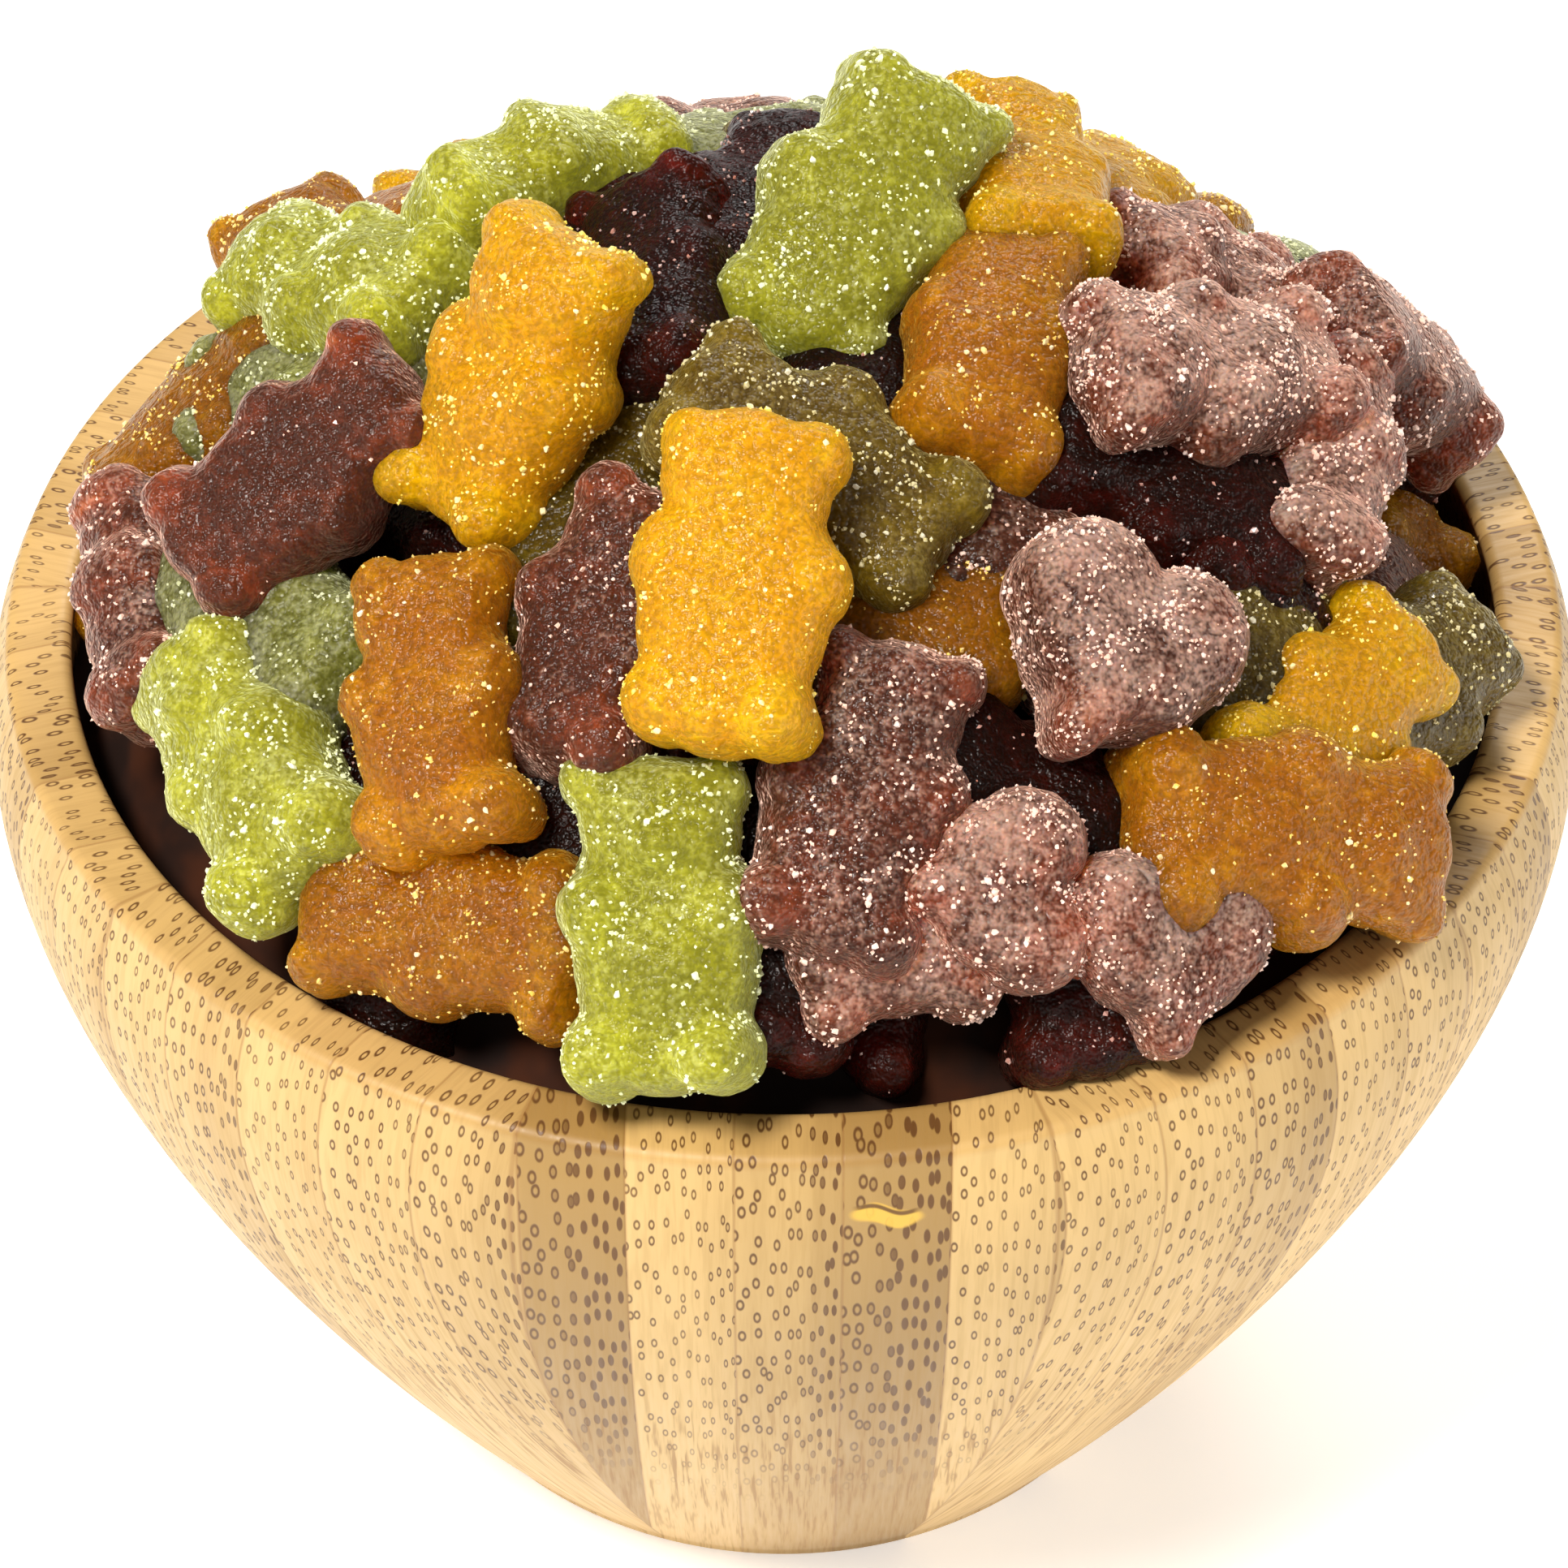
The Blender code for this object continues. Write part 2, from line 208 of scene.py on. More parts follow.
@dataclass
class Tree:
    """A node tree with short ways to add nodes and join them."""

    tree: bpy.types.NodeTree

    def add(self, kind: str, **settings: object) -> bpy.types.Node:
        """Adds a node.

        Args:
            kind: the node's type.
            settings: its properties by name.

        Returns:
            The node.
        """
        node = self.tree.nodes.new(kind)
        for key, value in settings.items():
            setattr(node, key, value)
        return node

    def feed(self, socket: Socket, value: object) -> None:
        """Joins an output to a socket, or sets the socket to a value.

        Args:
            socket: the socket to feed.
            value: an output, a number or a colour of three values.
        """
        if isinstance(value, Socket):
            self.tree.links.new(value, socket)
        elif socket.type == "RGBA":
            socket.default_value = (*value, 1.0)
        else:
            socket.default_value = value

    def wire(self, node: bpy.types.Node, values: dict[str, object]) -> None:
        """Feeds several of a node's inputs by name."""
        for name, value in values.items():
            self.feed(node.inputs[name], value)

    def math(self, operation: str, *values: object) -> Socket:
        """Adds a Math node.

        Args:
            operation: what it works out.
            values: the numbers or outputs it works on.

        Returns:
            The result's socket.
        """
        node = self.add("ShaderNodeMath", operation=operation)
        for socket, value in zip(node.inputs, values):
            self.feed(socket, value)
        return node.outputs[0]

    def plus(self, a: object, b: object) -> Socket:
        """Adds two values."""
        return self.math("ADD", a, b)

    def minus(self, a: object, b: object) -> Socket:
        """Takes the second value from the first."""
        return self.math("SUBTRACT", a, b)

    def times(self, a: object, b: object) -> Socket:
        """Multiplies two values."""
        return self.math("MULTIPLY", a, b)

    def over(self, a: object, b: object) -> Socket:
        """Divides the first value by the second."""
        return self.math("DIVIDE", a, b)

    def blend(self, a: object, b: object, c: object) -> Socket:
        """Multiplies the first two values and adds the third."""
        return self.math("MULTIPLY_ADD", a, b, c)

    def ramp(self, value: object, low: float, high: float, start: float = 0.0, end: float = 1.0) -> Socket:
        """Leads a value smoothly from one range to another.

        Args:
            value: the value or output.
            low: where the change starts.
            high: where it ends.
            start: the result at low and under it.
            end: the result at high and over it.

        Returns:
            The result's socket.
        """
        node = self.add("ShaderNodeMapRange", interpolation_type="SMOOTHSTEP", clamp=True)
        self.wire(node, {"Value": value, "From Min": low, "From Max": high, "To Min": start, "To Max": end})
        return node.outputs["Result"]

    def mix(self, share: object, a: object, b: object, blend: str = "MIX") -> Socket:
        """Mixes two colours.

        Args:
            share: how much of the second.
            a: the first colour or output.
            b: the second.
            blend: the blend type.

        Returns:
            The mixed colour's socket.
        """
        node = self.add("ShaderNodeMix", data_type="RGBA", blend_type=blend)
        for index, value in ((0, share), (6, a), (7, b)):
            self.feed(node.inputs[index], value)
        return node.outputs[2]

    def place(self) -> Socket:
        """Object coordinates."""
        return self.add("ShaderNodeTexCoord").outputs["Object"]

    def axes(self) -> tuple[Socket, ...]:
        """Object coordinates as three values."""
        split = self.add("ShaderNodeSeparateXYZ")
        self.feed(split.inputs[0], self.place())
        return tuple(split.outputs)

    def stretched(self, vector: Socket, scale: Point3) -> Socket:
        """A place with its axes scaled."""
        mapping = self.add("ShaderNodeMapping")
        self.wire(mapping, {"Vector": vector, "Scale": scale})
        return mapping.outputs[0]

    def noted(self, name: str) -> Socket:
        """A value that note_value stored."""
        return self.add("ShaderNodeAttribute", attribute_name=name).outputs["Fac"]

    def noise(self, vector: Socket, scale: float, detail: float = 2.0, rough: float = 0.5) -> Socket:
        """Adds a noise texture.

        Args:
            vector: where it is read.
            scale: how many of its lumps go into a metre.
            detail: how many finer layers it has.
            rough: how strong they are.

        Returns:
            Its value's socket.
        """
        node = self.add("ShaderNodeTexNoise")
        self.wire(node, {"Vector": vector, "Scale": scale, "Detail": detail, "Roughness": rough})
        return node.outputs["Fac"]

    def bump(self, strength: float, distance: float, height: Socket) -> Socket:
        """Raises the surface in light and shade.

        Args:
            strength: how strongly it shows.
            distance: the size of a step of 1 in the height.
            height: the height's output.

        Returns:
            The normal's socket.
        """
        node = self.add("ShaderNodeBump")
        self.wire(node, {"Strength": strength, "Distance": distance, "Height": height})
        return node.outputs["Normal"]


@dataclass
class Group:
    """A shader node group in the making, with named float inputs and named outputs."""

    name: str
    inputs: dict[str, float]
    outputs: dict[str, str]

    def __post_init__(self) -> None:
        """Makes the group with its sockets and its two ends."""
        self.made = bpy.data.node_groups.new(self.name, "ShaderNodeTree")
        for label, default in self.inputs.items():
            socket = self.made.interface.new_socket(label, in_out="INPUT", socket_type="NodeSocketFloat")
            socket.default_value = default
        for label, kind in self.outputs.items():
            self.made.interface.new_socket(label, in_out="OUTPUT", socket_type=kind)
        self.tree = Tree(self.made)
        self.start = self.tree.add("NodeGroupInput")
        self.end = self.tree.add("NodeGroupOutput")


def principled(name: str) -> tuple[bpy.types.Material, Tree, bpy.types.Node]:
    """Makes a material with only its Principled shader.

    Args:
        name: the material's name.

    Returns:
        The material, its tree and its shader node.
    """
    material = bpy.data.materials.new(name)
    material.use_nodes = True
    return material, Tree(material.node_tree), material.node_tree.nodes["Principled BSDF"]


# ---------------------------------------------------------------------------------------------
# Effects
# ---------------------------------------------------------------------------------------------


def sugar_crust_group() -> bpy.types.NodeTree:
    """Builds the crust of fine sugar that every sweet wears.

    Returns:
        A group that gives a frost mask, the white specks, the mottle of the grains (partly their own tone,
        partly painted light and shade of their relief) and their height.
    """
    outputs = dict.fromkeys(("Mask", "Speckle", "Grain Tone And Shade", "Height"), "NodeSocketFloat")
    group = Group("Sugar Crust", {"Frost": 0.4, "Spread": 0.5}, outputs)
    tree = group.tree
    frost, spread = group.start.outputs[:2]
    where = tree.place()
    grain = tree.noise(where, 2300.0, 1.0, 0.6)
    patch = tree.noise(where, 260.0, 1.0, 0.6)
    lumps = tree.noise(where, 1000.0, 0.0)
    cells = tree.add("ShaderNodeTexVoronoi", feature="F1")
    tree.wire(cells, {"Vector": where, "Scale": 2100.0})
    chosen = tree.add("ShaderNodeSeparateColor")
    tree.feed(chosen.inputs[0], cells.outputs["Color"])
    speck = tree.ramp(cells.outputs["Distance"], 0.10, 0.40, 1.0, 0.0)
    white = tree.times(speck, tree.ramp(chosen.outputs[0], 0.55, 0.8))
    amount = tree.plus(frost, tree.blend(patch, spread, -0.25))
    values = {
        "Mask": tree.ramp(tree.plus(amount, tree.blend(grain, 0.9, -0.45)), 0.25, 0.85),
        "Speckle": tree.times(white, tree.ramp(amount, 0.1, 0.6)),
        "Grain Tone And Shade": tree.ramp(grain, 0.32, 0.68),
        "Height": tree.blend(lumps, 0.9, tree.times(grain, 1.3)),
    }
    tree.wire(group.end, values)
    return group.made


def bamboo_stave_group() -> bpy.types.NodeTree:
    """Builds the lay of bamboo staves glued in blocks, with fibres that run outwards and a little up.

    Returns:
        A group that gives the place across the fibres, a tone for each stave, how crowded its fibres
        are, and the seams between staves.
    """
    inputs = {"Block Angle": 0.63, "Stave": 0.0072, "Rise": 0.6}
    outputs = {"Across": "NodeSocketVector"}
    outputs |= dict.fromkeys(("Tone", "Crowding", "Seam"), "NodeSocketFloat")
    group = Group("Bamboo Staves", inputs, outputs)
    tree = group.tree
    block_angle, stave_width, rise = group.start.outputs[:3]
    x, y, z = tree.axes()
    front = tree.times(y, -1.0)

    # which block of staves a place is in, and its place sideways and outwards in that block
    turns = tree.over(tree.math("ARCTAN2", x, front), block_angle)
    block = tree.math("ROUND", turns)
    turn = tree.times(block, block_angle)
    sine, cosine = tree.math("SINE", turn), tree.math("COSINE", turn)
    side = tree.minus(tree.times(x, cosine), tree.times(front, sine))
    out = tree.plus(tree.times(x, sine), tree.times(front, cosine))
    level = tree.math("SQRT", tree.minus(1.0, tree.times(rise, rise)))
    height = tree.minus(tree.times(z, level), tree.times(out, rise))

    # which stave, counted from one that starts left of the middle, and how far across it
    place = tree.over(tree.plus(side, 3.3 * MM), stave_width)
    stave, along = tree.math("FLOOR", place), tree.math("FRACT", place)
    crowded = tree.blend(tree.times(along, along), 0.4, along)

    # each stave reads its own stretch of the fibre pattern
    number = tree.blend(block, 5.0, stave)
    across = tree.add("ShaderNodeCombineXYZ")
    tree.feed(across.inputs[0], tree.times(tree.blend(number, 3.37, crowded), stave_width))
    tree.feed(across.inputs[1], tree.blend(number, 3.1 * MM, height))
    tree.feed(across.inputs[2], out)

    # the tones go round in steps, and the block at the front is set off more strongly
    tone = tree.math("FRACT", tree.blend(block, 0.37, tree.blend(stave, 0.35, 40.55)))
    plain = tree.ramp(tree.math("ABSOLUTE", block), 0.3, 0.7, 1.0, 0.55)

    near = tree.ramp(tree.math("ABSOLUTE", tree.minus(along, 0.5)), 0.478, 0.498)
    joint = tree.math("ABSOLUTE", tree.minus(tree.math("FRACT", tree.plus(turns, 0.5)), 0.5))
    values = {
        "Across": across.outputs[0],
        "Tone": tree.times(tone, plain),
        "Crowding": along,
        "Seam": tree.math("MAXIMUM", near, tree.ramp(joint, 0.492, 0.499)),
    }
    tree.wire(group.end, values)
    return group.made


# ---------------------------------------------------------------------------------------------
# Finishes
# ---------------------------------------------------------------------------------------------


@dataclass(frozen=True)
class GummyFinish:
    """Translucent fruit jelly under a crust of sugar.

    flesh is the jelly's colour, deep where it is thick and thin_glow where it is thin. These are partly the
    jelly's own depth of colour and partly painted light: a painted glow of light shining through where it is
    thin, and painted shade where it is thick. glow is how far each of its colours spreads. frost is the
    sugar's colour on it, frosted how much of it there is, veil how white it looks and haze how it lights up
    at a slant. sugar is its share of crystals.
    """

    name: str
    flesh: Colour
    deep: Colour
    thin_glow: Colour
    frost: Colour
    glow: Colour
    frosted: float
    veil: float
    haze: float
    sugar: float = 1.0
    gloss: float = 0.3

    def body(self, tree: Tree, where: Socket) -> Socket:
        """Colours the jelly by how thick it is: a painted glow of light shining through where it is thin,
        and a deeper colour, partly painted shade, where it is thick.

        Args:
            tree: the material's tree.
            where: object coordinates.

        Returns:
            The jelly's colour.
        """
        cloud, mottle = tree.noise(where, 170.0, 0.0), tree.noise(where, 800.0, 1.0, 0.6)
        # thin places take the painted glow of light shining through, thick places the deeper colour, partly
        # painted shade
        depth = tree.plus(tree.noted("thin"), tree.blend(cloud, 0.5, -0.25))
        body = tree.mix(tree.ramp(tree.blend(mottle, 0.9, depth), 0.3, 1.1), self.deep, self.flesh)
        return tree.mix(tree.ramp(depth, 0.42, 1.0), body, self.thin_glow)

    def material(self, crust: bpy.types.NodeTree) -> bpy.types.Material:
        """Builds the jelly's material.

        Args:
            crust: the sugar crust group.

        Returns:
            The material.
        """
        material, tree, shader = principled(self.name)
        wear = tree.add("ShaderNodeGroup", node_tree=crust)
        tree.wire(wear, {"Frost": tree.times(tree.noted("rime"), self.frosted), "Spread": 0.6})
        mask, speckle, grain, height = wear.outputs
        level = tree.ramp(tree.noted("tone"), 0.0, 1.0, 0.86, 1.08)
        bright = tree.add("ShaderNodeHueSaturation")
        # the grain mottle: partly the sugar's own tone, partly painted light and shade of the grains, which
        # the jelly's soft light blurs away
        value = tree.times(level, tree.blend(grain, 0.4, 0.8))
        tree.wire(bright, {"Color": self.body(tree, tree.place()), "Value": value})
        coated = tree.mix(tree.times(mask, self.veil), bright.outputs["Color"], self.frost)
        coated = tree.mix(tree.times(speckle, self.veil), coated, self.frost)
        shader.subsurface_method = "BURLEY"
        values = {
            "Base Color": coated,
            "Roughness": tree.ramp(mask, 0.0, 1.0, 0.3, 0.6),
            "Normal": tree.bump(1.0, 0.26 * MM, height),
            "Sheen Weight": self.haze,
            "Sheen Roughness": 0.42,
            "Sheen Tint": self.frost,
            "Subsurface Weight": 1.0,
            "Subsurface Radius": self.glow,
            "Subsurface Scale": 6 * MM,
            "IOR": 1.42,
            "Specular IOR Level": self.gloss,
        }
        tree.wire(shader, values)
        return material


@dataclass(frozen=True)
class SugarFinish:
    """Clear white crystals that take a little of the colour they sit on."""

    name: str = "sugar_crystal"
    white: Colour = (0.93, 0.90, 0.85)

    def material(self) -> bpy.types.Material:
        """Builds the crystals' material."""
        material, tree, shader = principled(self.name)
        tint = tree.add("ShaderNodeAttribute", attribute_name="tint").outputs["Color"]
        glitter = tree.noise(tree.place(), 3100.0, 1.0)
        values = {
            "Base Color": tree.mix(tree.ramp(glitter, 0.4, 0.75, 0.0, 0.2), tint, self.white),
            "Roughness": tree.ramp(glitter, 0.3, 0.7, 0.12, 0.34),
            "IOR": 1.54,
        }
        tree.wire(shader, values)
        return material


@dataclass(frozen=True)
class BambooFinish:
    """Laminated bamboo, end grain outwards, with dark fibre bundles in rows, and painted shade on its rim's
    top and its inner wall.
    """

    name: str = "bamboo"
    light: Colour = (0.66, 0.44, 0.175)
    dark: Colour = (0.36, 0.215, 0.066)
    fibre: Colour = (0.13, 0.055, 0.012)
    seam: Colour = (0.28, 0.13, 0.035)
    # painted shade: the rim's top and the inner wall are darkened where shade falls on them
    painted_rim_shade: Colour = (0.90, 0.84, 0.74)
    painted_inner_shade: Colour = (0.50, 0.33, 0.22)
    split_dark: Colour = (0.16, 0.075, 0.015)
    split_gold: Colour = (0.74, 0.45, 0.065)
    split_place: Point2 = (6.8 * MM, 71.8 * MM)
    split_size: Point2 = (2.7 * MM, 0.9 * MM)
    blocks: int = 10
    stave: float = 7.2 * MM
    rise: float = 0.68
    bundle_pitch: float = 1.25 * MM

    def split(self, tree: Tree, wood: Socket, x: Socket, height: Socket) -> Socket:
        """Adds the short golden split under the front rim.

        Args:
            tree: the material's tree.
            wood: the wood's colour.
            x: the place across the bowl.
            height: the height over the foot.

        Returns:
            The colour with the split in it.
        """
        run = tree.over(tree.minus(x, self.split_place[0]), self.split_size[0])
        slope = tree.blend(run, 0.5 * MM, tree.minus(height, self.split_place[1]))
        wander = tree.blend(tree.math("SINE", tree.times(run, 5.0)), 0.2 * MM, slope)
        rise = tree.over(wander, self.split_size[1])
        reach = tree.plus(tree.times(run, run), tree.times(rise, rise))
        gold = tree.mix(tree.times(tree.ramp(reach, 0.5, 1.0, 1.0, 0.0), 0.9), wood, self.split_gold)
        line = tree.ramp(tree.math("ABSOLUTE", tree.minus(rise, 0.55)), 0.08, 0.28, 1.0, 0.0)
        inside = tree.ramp(tree.math("ABSOLUTE", run), 0.6, 0.9, 1.0, 0.0)
        return tree.mix(tree.times(line, inside), gold, self.split_dark)

    def bundles(self, tree: Tree, across: Socket, tone: Socket, crowding: Socket) -> Socket:
        """Lays out the cut ends of the fibre bundles: rings, and filled where they crowd.

        Args:
            tree: the material's tree.
            across: the place across the fibres.
            tone: the stave's tone.
            crowding: how crowded its fibres are.

        Returns:
            The ends' mask.
        """
        cells = tree.add("ShaderNodeTexVoronoi", feature="F1", voronoi_dimensions="2D")
        place = tree.stretched(across, (1.0, 0.70, 0.02))
        tree.wire(cells, {"Vector": place, "Scale": 1.0 / self.bundle_pitch, "Randomness": 0.7})
        nearby = tree.over(cells.outputs["Distance"], tree.blend(tone, 0.10, 0.155))
        filled = tree.ramp(tree.plus(crowding, tone), 1.0, 1.5)
        middle = tree.math("MAXIMUM", tree.ramp(nearby, 0.35, 0.8), filled)
        return tree.times(tree.ramp(nearby, 0.95, 1.35, 1.0, 0.0), middle)

    def material(self, staves: bpy.types.NodeTree) -> bpy.types.Material:
        """Builds the bowl's material.

        Args:
            staves: the group that lays out the staves.

        Returns:
            The material.
        """
        material, tree, shader = principled(self.name)
        lay = tree.add("ShaderNodeGroup", node_tree=staves)
        tree.wire(lay, {"Block Angle": math.tau / self.blocks, "Stave": self.stave, "Rise": self.rise})
        across, tone, crowding, seam = lay.outputs
        x, y, height = tree.axes()
        ends = self.bundles(tree, across, tone, crowding)
        ring = tree.times(ends, tree.ramp(height, 20 * MM, 48 * MM))

        # the wood's own tone, from the stave, broad bands and clouds
        grain = tree.stretched(across, (1.0, 0.12, 0.05))
        fine, broad = tree.noise(grain, 1900.0, 2.0, 0.65), tree.noise(grain, 240.0, 2.0, 0.55)
        cloud = tree.noise(tree.place(), 55.0, 1.0)
        graded = tree.blend(crowding, 0.2, tree.blend(tree.ramp(tone, 0.2, 0.95), 0.62, -0.27))
        shade = tree.plus(tree.blend(broad, 0.4, graded), tree.times(cloud, 0.25))
        wood = tree.mix(tree.ramp(shade, 0.0, 0.8), self.light, self.dark)
        wood = tree.mix(tree.times(tree.ramp(fine, 0.42, 0.68), 0.22), wood, self.dark)

        # dashes towards the foot, fibre ends over them, then the seams and the split
        dashes = tree.times(tree.ramp(fine, 0.53, 0.66), tree.ramp(height, 34 * MM, 54 * MM, 1.0, 0.0))
        wood = tree.mix(tree.times(dashes, tree.ramp(height, 0.0, 30 * MM, 0.25, 0.6)), wood, self.seam)
        depth = tree.blend(tone, 0.35, tree.ramp(broad, 0.25, 0.75, 0.7, 0.95))
        wood = tree.mix(tree.times(ring, tree.math("MINIMUM", depth, 1.0)), wood, self.fibre)
        wood = tree.mix(tree.times(seam, 0.45), wood, self.seam)
        front = tree.ramp(y, -10 * MM, 10 * MM, 1.0, 0.0)
        wood = tree.mix(front, wood, self.split(tree, wood, x, height))
        # painted shade: darkens the rim's top and the inner wall, as if in shade
        for part, shaded in (("rim", self.painted_rim_shade), ("inside", self.painted_inner_shade)):
            wood = tree.mix(tree.noted(part), wood, tree.mix(1.0, wood, shaded, "MULTIPLY"))

        sunk = tree.blend(ring, -0.8, tree.times(fine, 0.35))
        values = {
            "Base Color": wood,
            "Roughness": tree.ramp(fine, 0.2, 0.8, 0.42, 0.60),
            "Normal": tree.bump(0.35, 0.12 * MM, tree.blend(seam, -0.5, sunk)),
            "IOR": 1.45,
        }
        tree.wire(shader, values)
        return material


@dataclass(frozen=True)
class CoreFinish:
    """Painted shade for the sweets packed beneath: near black, as where no light reaches."""

    name: str = "packed_depths_painted_shade"
    # painted shade: near black, warmer in patches
    dark: Colour = (0.012, 0.004, 0.002)
    warm: Colour = (0.05, 0.013, 0.004)

    def material(self) -> bpy.types.Material:
        """Builds the core's material."""
        material, tree, shader = principled(self.name)
        patch = tree.noise(tree.place(), 120.0, 3.0)
        values = {
            "Base Color": tree.mix(tree.ramp(patch, 0.4, 0.7), self.dark, self.warm),
            "Roughness": tree.ramp(patch, 0.3, 0.7, 0.75, 0.95),
            "Specular IOR Level": 0.2,
        }
        tree.wire(shader, values)
        return material


FINISHES: dict[Flavour, GummyFinish] = {
    LEMON: GummyFinish(
        "gummy_lemon",
        flesh=(0.57, 0.305, 0.001),
        deep=(0.49, 0.21, 0.001),
        thin_glow=(0.90, 0.57, 0.010),
        frost=(1.0, 0.75, 0.09),
        glow=(1.0, 0.85, 0.04),
        frosted=0.14,
        veil=0.14,
        haze=0.2,
    ),
    AMBER: GummyFinish(
        "gummy_amber",
        flesh=(0.37, 0.145, 0.001),
        deep=(0.23, 0.068, 0.001),
        thin_glow=(0.80, 0.42, 0.008),
        frost=(0.90, 0.60, 0.10),
        glow=(1.0, 0.75, 0.04),
        frosted=0.14,
        veil=0.12,
        haze=0.2,
    ),
    LIME: GummyFinish(
        "gummy_lime",
        flesh=(0.41, 0.40, 0.020),
        deep=(0.22, 0.21, 0.007),
        thin_glow=(0.76, 0.80, 0.16),
        frost=(0.90, 0.95, 0.48),
        glow=(0.8, 0.85, 0.12),
        frosted=0.26,
        veil=0.22,
        haze=0.6,
    ),
    SAGE: GummyFinish(
        "gummy_sage",
        flesh=(0.23, 0.23, 0.03),
        deep=(0.10, 0.10, 0.010),
        thin_glow=(0.46, 0.48, 0.10),
        frost=(0.68, 0.70, 0.40),
        glow=(0.7, 0.8, 0.12),
        frosted=0.4,
        veil=0.3,
        haze=0.5,
    ),
    OLIVE: GummyFinish(
        "gummy_olive",
        flesh=(0.155, 0.098, 0.004),
        deep=(0.07, 0.038, 0.002),
        thin_glow=(0.42, 0.31, 0.03),
        frost=(0.58, 0.49, 0.19),
        glow=(0.8, 0.65, 0.08),
        frosted=0.25,
        veil=0.2,
        haze=0.35,
    ),
    RUSSET: GummyFinish(
        "gummy_russet",
        flesh=(0.19, 0.032, 0.008),
        deep=(0.05, 0.010, 0.003),
        thin_glow=(0.80, 0.20, 0.035),
        frost=(0.94, 0.58, 0.44),
        glow=(1.0, 0.28, 0.08),
        frosted=0.36,
        veil=0.42,
        haze=0.6,
    ),
    PLUM: GummyFinish(
        "gummy_plum",
        flesh=(0.040, 0.004, 0.002),
        deep=(0.010, 0.002, 0.001),
        thin_glow=(0.30, 0.014, 0.005),
        frost=(0.40, 0.15, 0.10),
        glow=(1.0, 0.15, 0.06),
        frosted=0.06,
        veil=0.1,
        haze=0.05,
        sugar=0.15,
        gloss=0.18,
    ),
}


# ---------------------------------------------------------------------------------------------
# The bowl
# ---------------------------------------------------------------------------------------------


